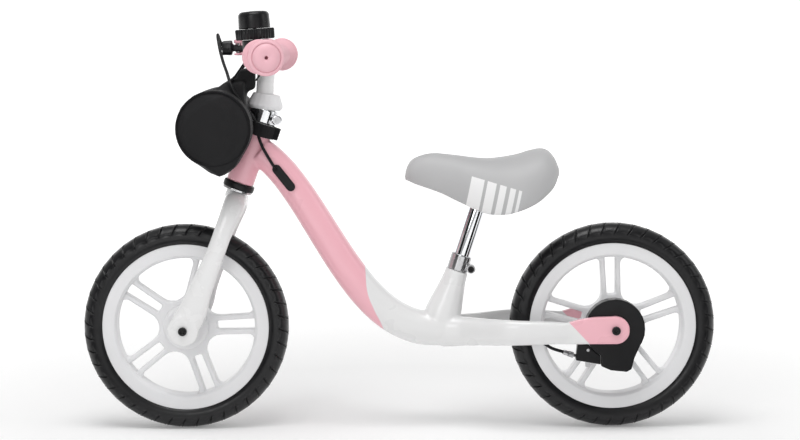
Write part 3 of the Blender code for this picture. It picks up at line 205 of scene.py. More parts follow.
def grainy(name, colour, rough, drift=0.04, grain=2600, depth=0.00006, strength=0.3, **fixed):
    """A plain moulded, painted or rubbery finish: slight drift in colour and gloss, and a fine grain."""
    material = surface(name, rough, **fixed)
    vary_colour(material, colour, drift, 14)
    vary_roughness(material, rough * 0.85, min(1.0, rough * 1.15), 40)
    add_bump(material, place_noise(material, grain, 2).outputs["Fac"], strength, depth)
    return material


def show(name, mesh, material, body, slot_name, *stands_for):
    """Put a finished mesh in the scene on its body, in place of the CAD nodes that it stands for."""
    mesh.name = name
    mesh.materials.clear()
    mesh.materials.append(material)
    mesh.polygons.foreach_set("use_smooth", [True] * len(mesh.polygons))
    piece = bpy.data.objects.new(name, mesh)
    scene.collection.objects.link(piece)
    if body:
        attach(piece, body)
    if stands_for:
        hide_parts(*stands_for)
    return piece


def remeshed(mesh, voxel, passes):
    """A closed mesh remade in small even faces and smoothed, so that its welds and edges round off."""
    work = bpy.data.objects.new("work", mesh)
    scene.collection.objects.link(work)
    remesh = work.modifiers.new("remesh", 'REMESH')
    remesh.mode = 'VOXEL'
    remesh.voxel_size = voxel
    smooth = work.modifiers.new("smooth", 'SMOOTH')
    smooth.factor = 0.5
    smooth.iterations = passes
    ready = bpy.data.meshes.new_from_object(work.evaluated_get(bpy.context.evaluated_depsgraph_get()))
    bpy.data.objects.remove(work)
    bpy.data.meshes.remove(mesh)
    return ready


def remade(name, voxel, passes):
    """The mesh of a CAD node, remade and smoothed."""
    return remeshed(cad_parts[name].data.copy(), voxel, passes)


def lofted(work, rows):
    """Faces from each ring of points to the next, and a cap on each end."""
    for here, there in zip(rows, rows[1:]):
        for k in range(len(here)):
            n = (k + 1) % len(here)
            work.faces.new((here[k], here[n], there[n], there[k]))
    work.faces.new(rows[0][::-1])
    work.faces.new(rows[-1])


def built(work, at=Matrix()):
    """The mesh of a bmesh that is done, its faces turned outwards, moved into place."""
    bmesh.ops.recalc_face_normals(work, faces=work.faces)
    work.transform(at)
    mesh = bpy.data.meshes.new("piece")
    work.to_mesh(mesh)
    work.free()
    return mesh


def merged(*meshes):
    """One mesh made of several."""
    work = bmesh.new()
    for mesh in meshes:
        work.from_mesh(mesh)
    joined = bpy.data.meshes.new("merged")
    work.to_mesh(joined)
    work.free()
    return joined


def smooth_line(points, per_span):
    """Points on a smooth curve through the given points."""
    route = [Vector(p) for p in points]
    route = [route[0] * 2 - route[1]] + route + [route[-1] * 2 - route[-2]]
    out = []
    for k in range(1, len(route) - 2):
        p0, p1, p2, p3 = route[k - 1:k + 3]
        for step in range(per_span):
            t = step / per_span
            out.append(0.5 * (2 * p1 + (p2 - p0) * t + (2 * p0 - 5 * p1 + 4 * p2 - p3) * t * t
                              + (3 * p1 - p0 - 3 * p2 + p3) * t ** 3))
    return out + [route[-2]]


def swept(stations, reference, power=2.0, at=Matrix(), sides=56, per_span=6):
    """A closed tube through stations of (point, half size along the reference, other half size)."""
    places = smooth_line([point for point, _, _ in stations], per_span)
    halves = smooth_line([(a, b, 0) for _, a, b in stations], per_span)
    work = bmesh.new()
    rows = []
    for k, (place, half) in enumerate(zip(places, halves)):
        tangent = (places[min(k + 1, len(places) - 1)] - places[max(k - 1, 0)]).normalized()
        other = tangent.cross(Vector(reference)).normalized()
        across = other.cross(tangent).normalized()
        row = []
        for angle in np.linspace(0, 2 * math.pi, sides, endpoint=False):
            c, s = math.cos(angle), math.sin(angle)
            a = math.copysign(abs(c) ** (2 / power), c) * half.x
            b = math.copysign(abs(s) ** (2 / power), s) * half.y
            row.append(work.verts.new(place + across * a + other * b))
        rows.append(row)
    lofted(work, rows)
    return built(work, at)


def bored(mesh, *bores):
    """A mesh with round holes cut out of it, each given as (radius, low, high, placement)."""
    work = bpy.data.objects.new("work", mesh)
    scene.collection.objects.link(work)
    drills = []
    for radius, low, high, at in bores:
        tube = bmesh.new()
        middle = Matrix.Translation((0, 0, (low + high) / 2))
        bmesh.ops.create_cone(tube, cap_ends=True, segments=64, radius1=radius, radius2=radius,
                              depth=high - low, matrix=at @ middle)
        drill = bpy.data.objects.new("drill", bpy.data.meshes.new("drill"))
        tube.to_mesh(drill.data)
        tube.free()
        scene.collection.objects.link(drill)
        cut = work.modifiers.new("cut", 'BOOLEAN')
        cut.operation = 'DIFFERENCE'
        cut.solver = 'MANIFOLD'
        cut.object = drill
        drills.append(drill)
    ready = bpy.data.meshes.new_from_object(work.evaluated_get(bpy.context.evaluated_depsgraph_get()))
    for spent in drills + [work]:
        bpy.data.objects.remove(spent)
    return ready


ROSE = (0.890, 0.470, 0.535)
WHITE = (0.80, 0.80, 0.80)
frame_paint = surface("frame_paint", 0.28, coat=0.35)
coords = node(frame_paint, "ShaderNodeTexCoord")
split = node(frame_paint, "ShaderNodeSeparateXYZ")
link(frame_paint, coords.outputs["Object"], split.inputs["Vector"])


def sum_of(material, operation, first, second):
    """A math node over two sockets or numbers."""
    made = node(material, "ShaderNodeMath")
    made.operation = operation
    for index, value in enumerate((first, second)):
        if isinstance(value, (int, float)):
            made.inputs[index].default_value = value
        else:
            link(material, value, made.inputs[index])
    return made.outputs[0]


X, Z = split.outputs["X"], split.outputs["Z"]

# The line where rose meets white on the beam, as (height, how far forward), drawn by a curve node.
edge = node(frame_paint, "ShaderNodeFloatCurve")
edge_line = [(0.128, 0.0185), (0.147, 0.0245), (0.170, 0.0355), (0.195, 0.0445), (0.222, 0.0470),
             (0.330, 0.056)]
low_z, high_z, low_x, high_x = 0.10, 0.34, 0.0, 0.10
curve = edge.mapping.curves[0]
edge_points = [((z - low_z) / (high_z - low_z), (x - low_x) / (high_x - low_x)) for z, x in edge_line]
for index, (a, b) in enumerate(edge_points):
    if index < 2:
        curve.points[index].location = (a, b)
    else:
        curve.points.new(a, b)
edge.mapping.update()
height = sum_of(frame_paint, 'DIVIDE', sum_of(frame_paint, 'SUBTRACT', Z, low_z), high_z - low_z)
link(frame_paint, height, edge.inputs["Value"])
edge_x = sum_of(frame_paint, 'ADD', sum_of(frame_paint, 'MULTIPLY', edge.outputs[0], high_x - low_x), low_x)
ahead = sum_of(frame_paint, 'GREATER_THAN', X, edge_x)

# The dropouts are rose behind a straight line that leans forward as it rises.
DROPOUT_EDGE_X, DROPOUT_EDGE_Z, DROPOUT_EDGE_LEAN = -0.246, 0.1443, 0.95
lean = sum_of(frame_paint, 'MULTIPLY', sum_of(frame_paint, 'SUBTRACT', Z, DROPOUT_EDGE_Z), DROPOUT_EDGE_LEAN)
rear_edge = sum_of(frame_paint, 'ADD', DROPOUT_EDGE_X, lean)
behind = sum_of(frame_paint, 'LESS_THAN', X, rear_edge)
rosy = sum_of(frame_paint, 'MAXIMUM', ahead, behind)
drift = place_noise(frame_paint, 9)
two_tone = node(frame_paint, "ShaderNodeMix", data_type='RGBA')
two_tone.inputs[6].default_value = (*WHITE, 1)
two_tone.inputs[7].default_value = (*ROSE, 1)
link(frame_paint, rosy, two_tone.inputs[0])
shade = node(frame_paint, "ShaderNodeMix", data_type='RGBA', blend_type='MULTIPLY')
shade.inputs[0].default_value = 0.03
link(frame_paint, two_tone.outputs[2], shade.inputs[6])
link(frame_paint, drift.outputs["Fac"], shade.inputs[7])
link(frame_paint, shade.outputs[2], frame_paint.node_tree.nodes["Principled BSDF"].inputs["Base Color"])
vary_roughness(frame_paint, 0.27, 0.30, 12)
add_bump(frame_paint, place_noise(frame_paint, 900, 2).outputs["Fac"], 0.12, 0.00005)

AXLE_HEIGHT = 0.144302
HEAD_BASE = Vector((0.224198, 0, 0.342783))
STEER = Matrix.Translation(HEAD_BASE) @ Matrix.Rotation(-math.radians(19.5), 4, 'Y')
SEAT_FOOT = Vector((-0.054, 0, 0.1365))
SEAT_AT = Matrix.Translation(SEAT_FOOT) @ Matrix.Rotation(-math.radians(18), 4, 'Y')
REAR_AXLE = Vector((-0.300, 0, AXLE_HEIGHT))
TO_LEFT = Matrix.Rotation(-math.pi / 2, 4, 'X')
HEAD_BORE, SEAT_BORE, AXLE_BORE = 0.0163, 0.0116, 0.0043
DROPOUT_RADIUS, DROPOUT_FACES = 0.0193, (0.0510, 0.0630)

# The beam follows one curve from the head tube to the foot of the seat tube: its slope at each end, and how
# far each slope holds as a share of the span.
BEAM_TOP_SLOPE, BEAM_TOP_PULL = math.radians(31.8), 0.269
BEAM_FOOT_SLOPE, BEAM_FOOT_PULL = math.radians(3), 0.342
beam_start = STEER @ Vector((-0.0121, 0, 0.0548))
beam_end = SEAT_FOOT + Vector((0, 0, 0.003))
beam_span = (beam_start - beam_end).length
top_way = Vector((math.cos(BEAM_TOP_SLOPE), 0, math.sin(BEAM_TOP_SLOPE)))
foot_way = Vector((math.cos(BEAM_FOOT_SLOPE), 0, -math.sin(BEAM_FOOT_SLOPE)))
beam_a = beam_start - top_way * BEAM_TOP_PULL * beam_span
beam_b = beam_end + foot_way * BEAM_FOOT_PULL * beam_span
beam = []
for t in np.linspace(0, 1, 25):
    s = 1 - t
    place = s ** 3 * beam_start + 3 * s * s * t * beam_a + 3 * s * t * t * beam_b + t ** 3 * beam_end
    beam.append((place, 0.0215 + 0.002 * t, 0.0202 + 0.0043 * t))
beam.append((SEAT_FOOT + Vector((-0.020, 0, 0.001)), 0.0235, 0.0225))
head_tube = [((0, 0, z), 0.0195, 0.0195) for z in (0.0045, 0.030, 0.060, 0.0835)]
beam_root = [((-0.0170, 0, z), 0.0120, 0.0150) for z in (0.040, 0.050, 0.062, 0.072)]
seat_tube = [((0, 0, 0), 0.0250, 0.0225), ((0, 0, 0.020), 0.0256, 0.0218), ((0, 0, 0.035), 0.0245, 0.0205),
             ((0, 0, 0.060), 0.0198, 0.0180), ((0, 0, 0.080), 0.0165, 0.0165),
             ((0, 0, 0.090), 0.0165, 0.0165)]
bridge = [((x, 0, 0.1365), y, 0.0125) for x, y in ((-0.062, 0.014), (-0.090, 0.028), (-0.124, 0.040))]
tubes = [swept(beam, (0, 1, 0), 2.3), swept(head_tube, (1, 0, 0), 2.0, STEER),
         swept(beam_root, (1, 0, 0), 2.0, STEER), swept(seat_tube, (1, 0, 0), 2.0, SEAT_AT),
         swept(bridge, (0, 1, 0), 4.0)]

# Each stay from the seat tube back: (place along X, half height, half thickness).
STAY = [(-0.060, 0.0215, 0.0160), (-0.090, 0.0205, 0.0150), (-0.115, 0.0190, 0.0130),
        (-0.140, 0.0182, 0.0110), (-0.156, 0.0178, 0.0098), (-0.175, 0.0172, 0.0092),
        (-0.208, 0.0160, 0.0088), (-0.228, 0.0148, 0.0072), (-0.250, 0.0140, 0.0054)]
for way in (1, -1):
    stay = []
    for x, half_height, half_thickness in STAY:
        t = min((-0.060 - x) / 0.115, 1)
        y = 0.006 + 0.051 * t * t * (3 - 2 * t)
        z = 0.1355 + 0.005 * min((-0.060 - x) / 0.100, 1)
        z += (AXLE_HEIGHT - z) * max(0, 1 - (x - REAR_AXLE.x) / 0.06)
        stay.append(((x, way * y, z), half_height, half_thickness))
    tubes.append(swept(stay, (0, 0, 1), 2.6))
    end = [(REAR_AXLE.x + DROPOUT_RADIUS * math.cos(t), AXLE_HEIGHT + DROPOUT_RADIUS * math.sin(t))
           for t in np.linspace(math.pi / 2, 3 * math.pi / 2, 25)]
    end += [(-0.216, AXLE_HEIGHT - DROPOUT_RADIUS), (-0.216, AXLE_HEIGHT + 0.008),
            (-0.233, AXLE_HEIGHT + 0.0105), (-0.250, AXLE_HEIGHT + 0.0155), (-0.272, AXLE_HEIGHT + 0.0185)]
    plate = bmesh.new()
    lofted(plate, [[plate.verts.new((x, way * y, z)) for x, z in end] for y in DROPOUT_FACES])
    tubes.append(built(plate))
welded = bored(remeshed(merged(*tubes), 0.0015, 12), (HEAD_BORE, -0.02, 0.109, STEER),
               (SEAT_BORE, -0.010, 0.11, SEAT_AT),
               (AXLE_BORE, -0.09, 0.09, Matrix.Translation(REAR_AXLE) @ TO_LEFT))
show("beam_frame", welded, frame_paint, "frame_body", "pink_paint", "frame")

# ------------------------------------------------------------------ headset
# Turned steel cups, black, pressed into both ends of the head tube. They hold the two bearings that the
# fork turns in, with the crown race under the lower one.
satin_black = grainy("satin_black", (0.010, 0.010, 0.011), 0.35, specular=0.25)
bright_steel = grainy("bright_steel", (0.62, 0.62, 0.63), 0.28, metal=1.0, grain=1800, depth=0.00003)


def turn(profile, steps, at=Matrix()):
    """A mesh turned round local Z from (radius, height) points; a closed profile makes a closed ring."""
    work = bmesh.new()
    closed = profile[0] != profile[-1] and min(r for r, _ in profile) > 1e-6
    rows = []
    for step in range(steps):
        angle = 2 * math.pi * step / steps
        rows.append([work.verts.new((r * math.cos(angle), r * math.sin(angle), h)) for r, h in profile])
    spans = len(profile) if closed else len(profile) - 1
    for step in range(steps):
        here, there = rows[step], rows[(step + 1) % steps]
        for k in range(spans):
            n = (k + 1) % len(profile)
            work.faces.new((here[k], there[k], there[n], here[n]))
    bmesh.ops.remove_doubles(work, verts=work.verts, dist=1e-6)
    bmesh.ops.dissolve_degenerate(work, edges=work.edges, dist=1e-7)
    return built(work, at)


def eased(points, radius, closed=True, steps=4):
    """The same outline with each corner rounded by up to the radius."""
    out = []
    count = len(points)
    for index, point in enumerate(points):
        if not closed and index in (0, count - 1):
            out.append(tuple(point))
            continue
        here, before, after = Vector(point), Vector(points[index - 1]), Vector(points[(index + 1) % count])
        reach = min(radius, (before - here).length * 0.45, (after - here).length * 0.45)
        start, end = here + (before - here).normalized() * reach, here + (after - here).normalized() * reach
        for step in range(steps + 1):
            t = step / steps
            out.append(tuple(start * (1 - t) ** 2 + here * (2 * t * (1 - t)) + end * t ** 2))
    return out


CUP_RADIUS = 0.022
for cup, low, high in (("lower_headset_cup", -0.0048, 0.0042), ("upper_headset_cup", 0.0838, 0.0928)):
    ring = eased([(0.0149, low), (CUP_RADIUS - 0.0006, low), (CUP_RADIUS, low + 0.002),
                  (CUP_RADIUS, high - 0.002), (CUP_RADIUS - 0.0006, high), (0.0149, high)], 0.0008)
    show(cup + "_turned", turn(ring, 64, STEER), satin_black, "frame_body", "black_plastic", cup)
for name in ("lower_head_bearing", "upper_head_bearing", "crown_race"):
    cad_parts[name].material_slots[0].material = bright_steel

# ------------------------------------------------------------------ fork
# Steel fork: round steerer, a crown that splits into two flattened legs and round pressed ends, all in
# gloss white powder coat.
white_paint = grainy("white_paint", WHITE, 0.26, drift=0.02, grain=900, depth=0.00005, strength=0.12,
                     coat=0.35)
STEERER_BORE, STEERER_RADIUS = 0.0127, 0.0143
leg = [((-0.0037, 0.024, -0.0213), 0.0152, 0.0112), ((-0.0044, 0.041, -0.0348), 0.0148, 0.0102),
       ((-0.0030, 0.049, -0.0648), 0.0130, 0.0088), ((-0.0024, 0.050, -0.095), 0.0133, 0.0080),
       ((-0.0008, 0.050, -0.128), 0.0150, 0.0076), ((0.0010, 0.050, -0.155), 0.0170, 0.0073),
       ((0.0012, 0.050, -0.178), 0.0196, 0.0070), ((0.0042, 0.050, -0.2004), 0.0212, 0.0070)]
other_leg = [((x, -y, z), a, b) for (x, y, z), a, b in leg]
FRONT_AXLE = Vector((0.300, 0, AXLE_HEIGHT))
blades = [swept(other_leg[::-1] + [((-0.0035, 0, -0.0198), 0.0155, 0.0115)] + leg, (1, 0, 0), 2.4, STEER)]
for way in (1, -1):
    blades.append(swept([((0, 0, way * z), 0.0215, 0.0215) for z in (0.043, 0.050, 0.057)], (1, 0, 0), 2.0,
                        Matrix.Translation(FRONT_AXLE) @ TO_LEFT))
crown_plug = [((0, 0, z), STEERER_RADIUS, STEERER_RADIUS) for z in (-0.020, 0.0, 0.012)]
blades.append(swept(crown_plug, (1, 0, 0), 2.0, STEER))
blades = bored(remeshed(merged(*blades), 0.0014, 10), (STEERER_BORE, -0.06, 0.10, STEER),
               (AXLE_BORE, -0.09, 0.09, Matrix.Translation(FRONT_AXLE) @ TO_LEFT))
steerer = turn([(STEERER_BORE, 0.006), (STEERER_RADIUS, 0.006), (STEERER_RADIUS, 0.111),
                (STEERER_BORE, 0.111)], 72, STEER)
show("white_fork", merged(blades, steerer), white_paint, "fork_body", "white_paint", "fork")

# ------------------------------------------------------------------ stem clamp
# Chromed pinch collar round the top of the steerer. A steel bolt through its two rolled ears closes it, and
# with the bolt slack the bar slides up.
chrome = surface("chrome", 0.06, metal=1.0)
vary_colour(chrome, (0.82, 0.83, 0.85), 0.02, 30)
vary_roughness(chrome, 0.04, 0.09, 60)
show("chromed_clamp", remade("stem_clamp", 0.0006, 6), chrome, "fork_body", "chrome", "stem_clamp")
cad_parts["stem_clamp_bolt"].material_slots[0].material = bright_steel

# ------------------------------------------------------------------ handlebar and stem
# Thin-walled steel bar with the bent stem tube welded under its middle, in the fork's white powder coat. A
# moulded white cap on the stem comes down over the clamp.
show("white_bar", remade("handlebar", 0.0010, 14), white_paint, "bar_body", "white_paint", "handlebar")
white_plastic = grainy("white_plastic", (0.79, 0.79, 0.80), 0.33, drift=0.02, grain=1500)
show("clamp_cap", remade("stem_collar", 0.0007, 10), white_plastic, "bar_body", "white_plastic",
     "stem_collar")

# ------------------------------------------------------------------ grips
# Soft rubber grips pushed on the bar ends: a dished guard at the outer end, a smaller flange inside, and
# shallow ribs under the palm.
rose_rubber = grainy("rose_rubber", (0.790, 0.450, 0.505), 0.50, drift=0.03, grain=1900, depth=0.00008)
BAR_CENTRE = Vector((0.189615, 0, 0.5235))
BAR_SWEEP_START = 0.070
BAR_SWEEP = math.radians(9)
BAR_HALF_WIDTH = 0.178


def along_bar(distance, way):
    """A point on the bar's middle line, to the left (1) or right (-1)."""
    straight, angled = min(distance, BAR_SWEEP_START), max(distance - BAR_SWEEP_START, 0)
    across = straight + math.cos(BAR_SWEEP) * angled
    return BAR_CENTRE + Vector((-math.sin(BAR_SWEEP) * angled, way * across, 0))


GRIP_LENGTH = 0.098
GRIP_RIBS = 13
for side, way in (("left", 1), ("right", -1)):
    start, end = along_bar(BAR_HALF_WIDTH - GRIP_LENGTH, way), along_bar(BAR_HALF_WIDTH, way)
    at = Matrix.Translation(start) @ (end - start).to_track_quat('Z', 'Y').to_matrix().to_4x4()
    long = (end - start).length
    outline = eased([(0.0114, 0.0), (0.0232, 0.0002), (0.0240, 0.0022), (0.0236, 0.0046), (0.0172, 0.0072)],
                    0.0012)
    for rib in range(GRIP_RIBS):
        z0 = 0.012 + (long - 0.032) * rib / GRIP_RIBS
        z1 = z0 + (long - 0.032) / GRIP_RIBS
        outline += [(0.0156, z0), (0.0161, z0 + (z1 - z0) * 0.3), (0.0161, z0 + (z1 - z0) * 0.75),
                    (0.0156, z1)]
    outline += eased([(0.0166, long - 0.0150), (0.0222, long - 0.0096), (0.0229, long - 0.0078),
                      (0.0222, long - 0.0060)], 0.0008, closed=False)
    outline += eased([(0.0205, long - 0.0056), (0.0205, long - 0.0046), (0.0234, long - 0.0040),
                      (0.0242, long - 0.0012), (0.0240, long + 0.0022), (0.0226, long + 0.0044),
                      (0.0200, long + 0.0054)], 0.0009, closed=False)
    outline += [(0.0196, long + 0.0052), (0.0193, long + 0.0036), (0.0187, long + 0.0036),
                (0.0184, long + 0.0056), (0.0100, long + 0.0062), (0.0030, long + 0.0062),
                (0.0024, long + 0.0056), (0.0024, long - 0.0080), (0.0, long - 0.0080),
                (0.0, long - 0.0095), (0.0114, long - 0.0095)]
    show("rubber_grip_" + side, turn(outline, 72, at), rose_rubber, "bar_body", "pink_rubber", "grip_" + side)

# ------------------------------------------------------------------ bell
# Twist bell: a black base banded to the bar, a ribbed ring with two thumb tabs that turns, and a domed cap
# with a shallow ring pressed in its top.
bell_black = grainy("bell_black", (0.010, 0.010, 0.011), 0.30, grain=2200, specular=0.28)
BELL_FOOT = along_bar(0.052, 1) + Vector((0.0040, 0, 0))
BELL_AT = Matrix.Translation(BELL_FOOT) @ Matrix.Rotation(math.radians(4), 4, 'Y')
RING_LOW, RING_HIGH = 0.0234, 0.0384
DOME_LOW, DOME_TOP = 0.0384, 0.0624
dome = [(0.0213, DOME_LOW), (0.0217, DOME_LOW + 0.0015), (0.0212, DOME_TOP - 0.0075)]
dome += [(0.0150 + 0.0062 * math.cos(t), DOME_TOP - 0.0070 + 0.0062 * math.sin(t))
         for t in np.linspace(0.1, 1.5, 8)]
dome += [(0.0125, DOME_TOP - 0.0005), (0.0112, DOME_TOP - 0.0014), (0.0098, DOME_TOP - 0.0006),
         (0.0036, DOME_TOP)]
dome += [(0.0036, DOME_TOP - 0.0014), (0.0150, DOME_TOP - 0.0024), (0.0196, DOME_TOP - 0.0080),
         (0.0199, DOME_LOW)]
show("bell_cap", turn(dome, 96, BELL_AT), bell_black, "bar_body", "black_plastic", "bell_dome")

RIBS = 28
work = bmesh.new()
steps = RIBS * 8
rows = []
for step in range(steps):
    angle = 2 * math.pi * step / steps
    wave = 0.5 + 0.5 * math.cos(RIBS * angle)
    tab = math.exp(-((math.sin(angle) / 0.20) ** 6))
    out = 0.0226 + 0.0012 * wave * (1 - tab) + 0.0040 * tab
    line = [(0.0036, RING_LOW), (out - 0.0012, RING_LOW), (out, RING_LOW + 0.0012),
            (out + 0.0003, RING_HIGH - 0.0018), (out - 0.0008, RING_HIGH - 0.0004),
            (0.0190, RING_HIGH - 0.0004), (0.0190, RING_LOW + 0.003), (0.0036, RING_LOW + 0.003)]
    rows.append([work.verts.new((r * math.cos(angle), r * math.sin(angle), h)) for r, h in line])
for step in range(steps):
    here, there = rows[step], rows[(step + 1) % steps]
    for k in range(len(here)):
        n = (k + 1) % len(here)
        work.faces.new((here[k], there[k], there[n], here[n]))
show("bell_twist_ring", built(work, BELL_AT), bell_black, "bell_twist", "black_plastic", "bell_ring")
show("bell_foot", remade("bell_base", 0.0008, 6), bell_black, "bar_body", "black_plastic", "bell_base")
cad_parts["bell_striker"].material_slots[0].material = bright_steel

# ------------------------------------------------------------------ brake lever
# Moulded black perch clamped on the bar, with a rose lever on a steel pin and a barrel that the cable
# leaves from.
rose_plastic = grainy("rose_plastic", (0.840, 0.420, 0.490), 0.34, drift=0.03, grain=2000)
show("lever_mount", remade("lever_perch", 0.0007, 5), bell_black, "bar_body", "black_plastic", "lever_perch")
show("rose_lever", remade("brake_lever", 0.0007, 8), rose_plastic, "lever_body", "pink_plastic",
     "brake_lever")
show("cable_barrel", remade("lever_adjuster", 0.0003, 3), satin_black, "bar_body", "black_plastic",
     "lever_adjuster")
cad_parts["lever_pin"].material_slots[0].material = bright_steel

# ------------------------------------------------------------------ wheels
# One white injection moulding makes each wheel: a flanged ring, five pairs of slim spokes that flow into
# one another through wide fillets, and a hub bored for two sealed bearings.
WHEEL_FACING = Matrix(((-1, 0, 0, 0), (0, 0, 1, 0), (0, 1, 0, 0), (0, 0, 0, 1)))
RIM_RADIUS, RIM_INNER, RIM_HALF_WIDTH = 0.117, 0.0975, 0.018
HUB_RADIUS, HUB_HALF_WIDTH = 0.031, 0.024
WEB_HALF_WIDTH, WEB_ROUNDING = 0.0095, 0.0028
SPOKE_WIDTH, PAIR_HALF_WIDTH = 0.0070, 0.0145
wheel_plastic = grainy("wheel_plastic", (0.78, 0.78, 0.79), 0.36, drift=0.02, grain=1400)


def rounded_outline(corners, steps=7):
    """Points round an outline whose corners, each with its own radius, are turned on true arcs."""
    out = []
    for index, (x, y, radius) in enumerate(corners):
        here = Vector((x, y))
        before, after = (Vector(corners[(index + k) % len(corners)][:2]) for k in (-1, 1))
        first, second = (before - here).normalized(), (after - here).normalized()
        half = first.angle(second) / 2
        if radius < 1e-6 or half > math.radians(89):
            out.append((x, y))
            continue
        reach = radius / math.tan(half)
        centre = here + (first + second).normalized() * (radius / math.sin(half))
        start, end = here + first * reach - centre, here + second * reach - centre
        begin = math.atan2(start.y, start.x)
        sweep = (math.atan2(end.y, end.x) - begin + math.pi) % (2 * math.pi) - math.pi
        for step in range(steps + 1):
            angle = begin + sweep * step / steps
            out.append((centre.x + radius * math.cos(angle), centre.y + radius * math.sin(angle)))
    return out


def grown(outline, amount):
    """An outline with every point moved straight outwards by an amount."""
    here = np.array(outline)
    ahead, back = np.roll(here, -1, axis=0) - here, here - np.roll(here, 1, axis=0)
    along = ahead / np.linalg.norm(ahead, axis=1)[:, None] + back / np.linalg.norm(back, axis=1)[:, None]
    along /= np.linalg.norm(along, axis=1)[:, None]
    turned_left = np.sign(np.sum(here[:, 0] * np.roll(here[:, 1], -1) - np.roll(here[:, 0], -1) * here[:, 1]))
    return here + np.stack([along[:, 1], -along[:, 0]], axis=1) * turned_left * amount


def inside(loop, x, y):
    """Whether a point lies inside an outline."""
    x0, y0 = loop[:, 0], loop[:, 1]
    x1, y1 = np.roll(x0, -1), np.roll(y0, -1)
    over = (y0 > y) != (y1 > y)
    x0, y0, x1, y1 = (ends[over] for ends in (x0, y0, x1, y1))
    return np.count_nonzero(x < x0 + (y - y0) * (x1 - x0) / (y1 - y0)) % 2 == 1


def spoke_web():
    """The spokes as a plate with openings, every edge of an opening rounded, lying flat round the axle."""
    def circle(radius, count):
        angles = np.linspace(0, 2 * math.pi, count, endpoint=False)
        return [(radius * math.cos(t), radius * math.sin(t)) for t in angles]

    holes = [circle(0.0130, 48)]
    for pair in range(5):
        axis = 2 * math.pi * pair / 5
        gap = math.pi / 5
        corner = gap - math.asin(PAIR_HALF_WIDTH / RIM_INNER)
        arc = [(RIM_INNER * math.cos(t), RIM_INNER * math.sin(t), 0)
               for t in np.linspace(-corner, corner, 11)]
        arc[0], arc[-1] = (*arc[0][:2], 0.0080), (*arc[-1][:2], 0.0080)
        apex = (0.0132 / math.sin(gap), 0, 0.0215)
        slot_out, slot_in = PAIR_HALF_WIDTH - SPOKE_WIDTH, 0.0130 - SPOKE_WIDTH
        slot = [(RIM_INNER, -slot_out, 0.0022), (RIM_INNER, slot_out, 0.0022), (0.044, slot_in, 0.0028),
                (0.044, -slot_in, 0.0028)]
        for corners, angle in (([apex] + arc, axis + gap), (slot, axis)):
            c, s = math.cos(angle), math.sin(angle)
            holes.append([(x * c - y * s, x * s + y * c) for x, y in rounded_outline(corners)])
    rounding = [(WEB_ROUNDING * (1 - math.cos(a)), WEB_HALF_WIDTH - WEB_ROUNDING * (1 - math.sin(a)))
                for a in np.radians((0, 18, 36, 54, 72, 90))]
    profile = [(offset, -z) for offset, z in rounding[::-1]] + rounding
    work = bmesh.new()
    brims = [np.array(circle(0.0995, 120))]
    for hole in holes:
        rings = [[work.verts.new((x, y, z)) for x, y in grown(hole, offset)] for offset, z in profile]
        brims.append(grown(hole, WEB_ROUNDING))
        for below, above in zip(rings, rings[1:]):
            for k in range(len(hole)):
                n = (k + 1) % len(hole)
                work.faces.new((below[k], below[n], above[n], above[k]))
    corners, edges = [], []
    for brim in brims:
        edges += [(len(corners) + k, len(corners) + (k + 1) % len(brim)) for k in range(len(brim))]
        corners += [Vector(point) for point in brim.tolist()]
    flat_points, _, triangles = delaunay_2d_cdt(corners, edges, [], 0, 1e-7)[:3]
    for level in (-WEB_HALF_WIDTH, WEB_HALF_WIDTH):
        face_points = [work.verts.new((x, y, level)) for x, y in flat_points]
        for triangle in triangles:
            x, y = (sum(flat_points[k][axis] for k in triangle) / 3 for axis in (0, 1))
            if inside(brims[0], x, y) and not any(inside(brim, x, y) for brim in brims[1:]):
                work.faces.new([face_points[k] for k in triangle])
    bmesh.ops.remove_doubles(work, verts=work.verts, dist=2e-6)
    return built(work)


half = RIM_HALF_WIDTH
rim_ring = eased([(RIM_INNER - 0.0006, -0.0125), (0.1005, -half), (RIM_RADIUS, -half),
                  (RIM_RADIUS, -half + 0.0026), (0.1135, -half + 0.0026), (0.1135, half - 0.0026),
                  (RIM_RADIUS, half - 0.0026), (RIM_RADIUS, half), (0.1005, half),
                  (RIM_INNER - 0.0006, 0.0125)], 0.0014)
hub = eased([(0.0116, -HUB_HALF_WIDTH), (0.0175, -HUB_HALF_WIDTH), (0.0190, -0.0222), (0.0270, -0.0222),
             (HUB_RADIUS, -0.0195), (HUB_RADIUS + 0.0018, 0.0), (HUB_RADIUS, 0.0195), (0.0270, 0.0222),
             (0.0190, 0.0222), (0.0175, HUB_HALF_WIDTH), (0.0116, HUB_HALF_WIDTH)], 0.0016)
for end, axle, turned_by in (("front", FRONT_AXLE, 2), ("rear", REAR_AXLE, 20)):
    at = Matrix.Translation(axle) @ WHEEL_FACING @ Matrix.Rotation(math.radians(turned_by), 4, 'Z')
    wheel = merged(spoke_web(), turn(rim_ring, 180), turn(hub, 96))
    wheel.transform(at)
    show(end + "_wheel_moulding", wheel, wheel_plastic, end + "_wheel", "white_plastic", end + "_rim")
    for side in ("left", "right"):
        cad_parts[f"{end}_bearing_{side}"].material_slots[0].material = bright_steel

# ------------------------------------------------------------------ tyres
# Solid foam tyres stretched over the rims. The tread is a band of blocks cut by thin curved grooves that
# run over the shoulder, and the wall inside it is smooth.
foam = surface("tyre_foam", 0.34, specular=0.42)
vary_colour(foam, (0.006, 0.006, 0.007), 0.18, 60)
vary_roughness(foam, 0.28, 0.40, 90)
add_bump(foam, place_noise(foam, 1500, 3).outputs["Fac"], 0.35, 0.00018)
TREAD_BLOCKS = 44
STEPS_PER_BLOCK = 22
TREAD_EDGE = math.radians(76)
GROOVE_DEPTH, TREAD_STEP = 0.0026, 0.0012


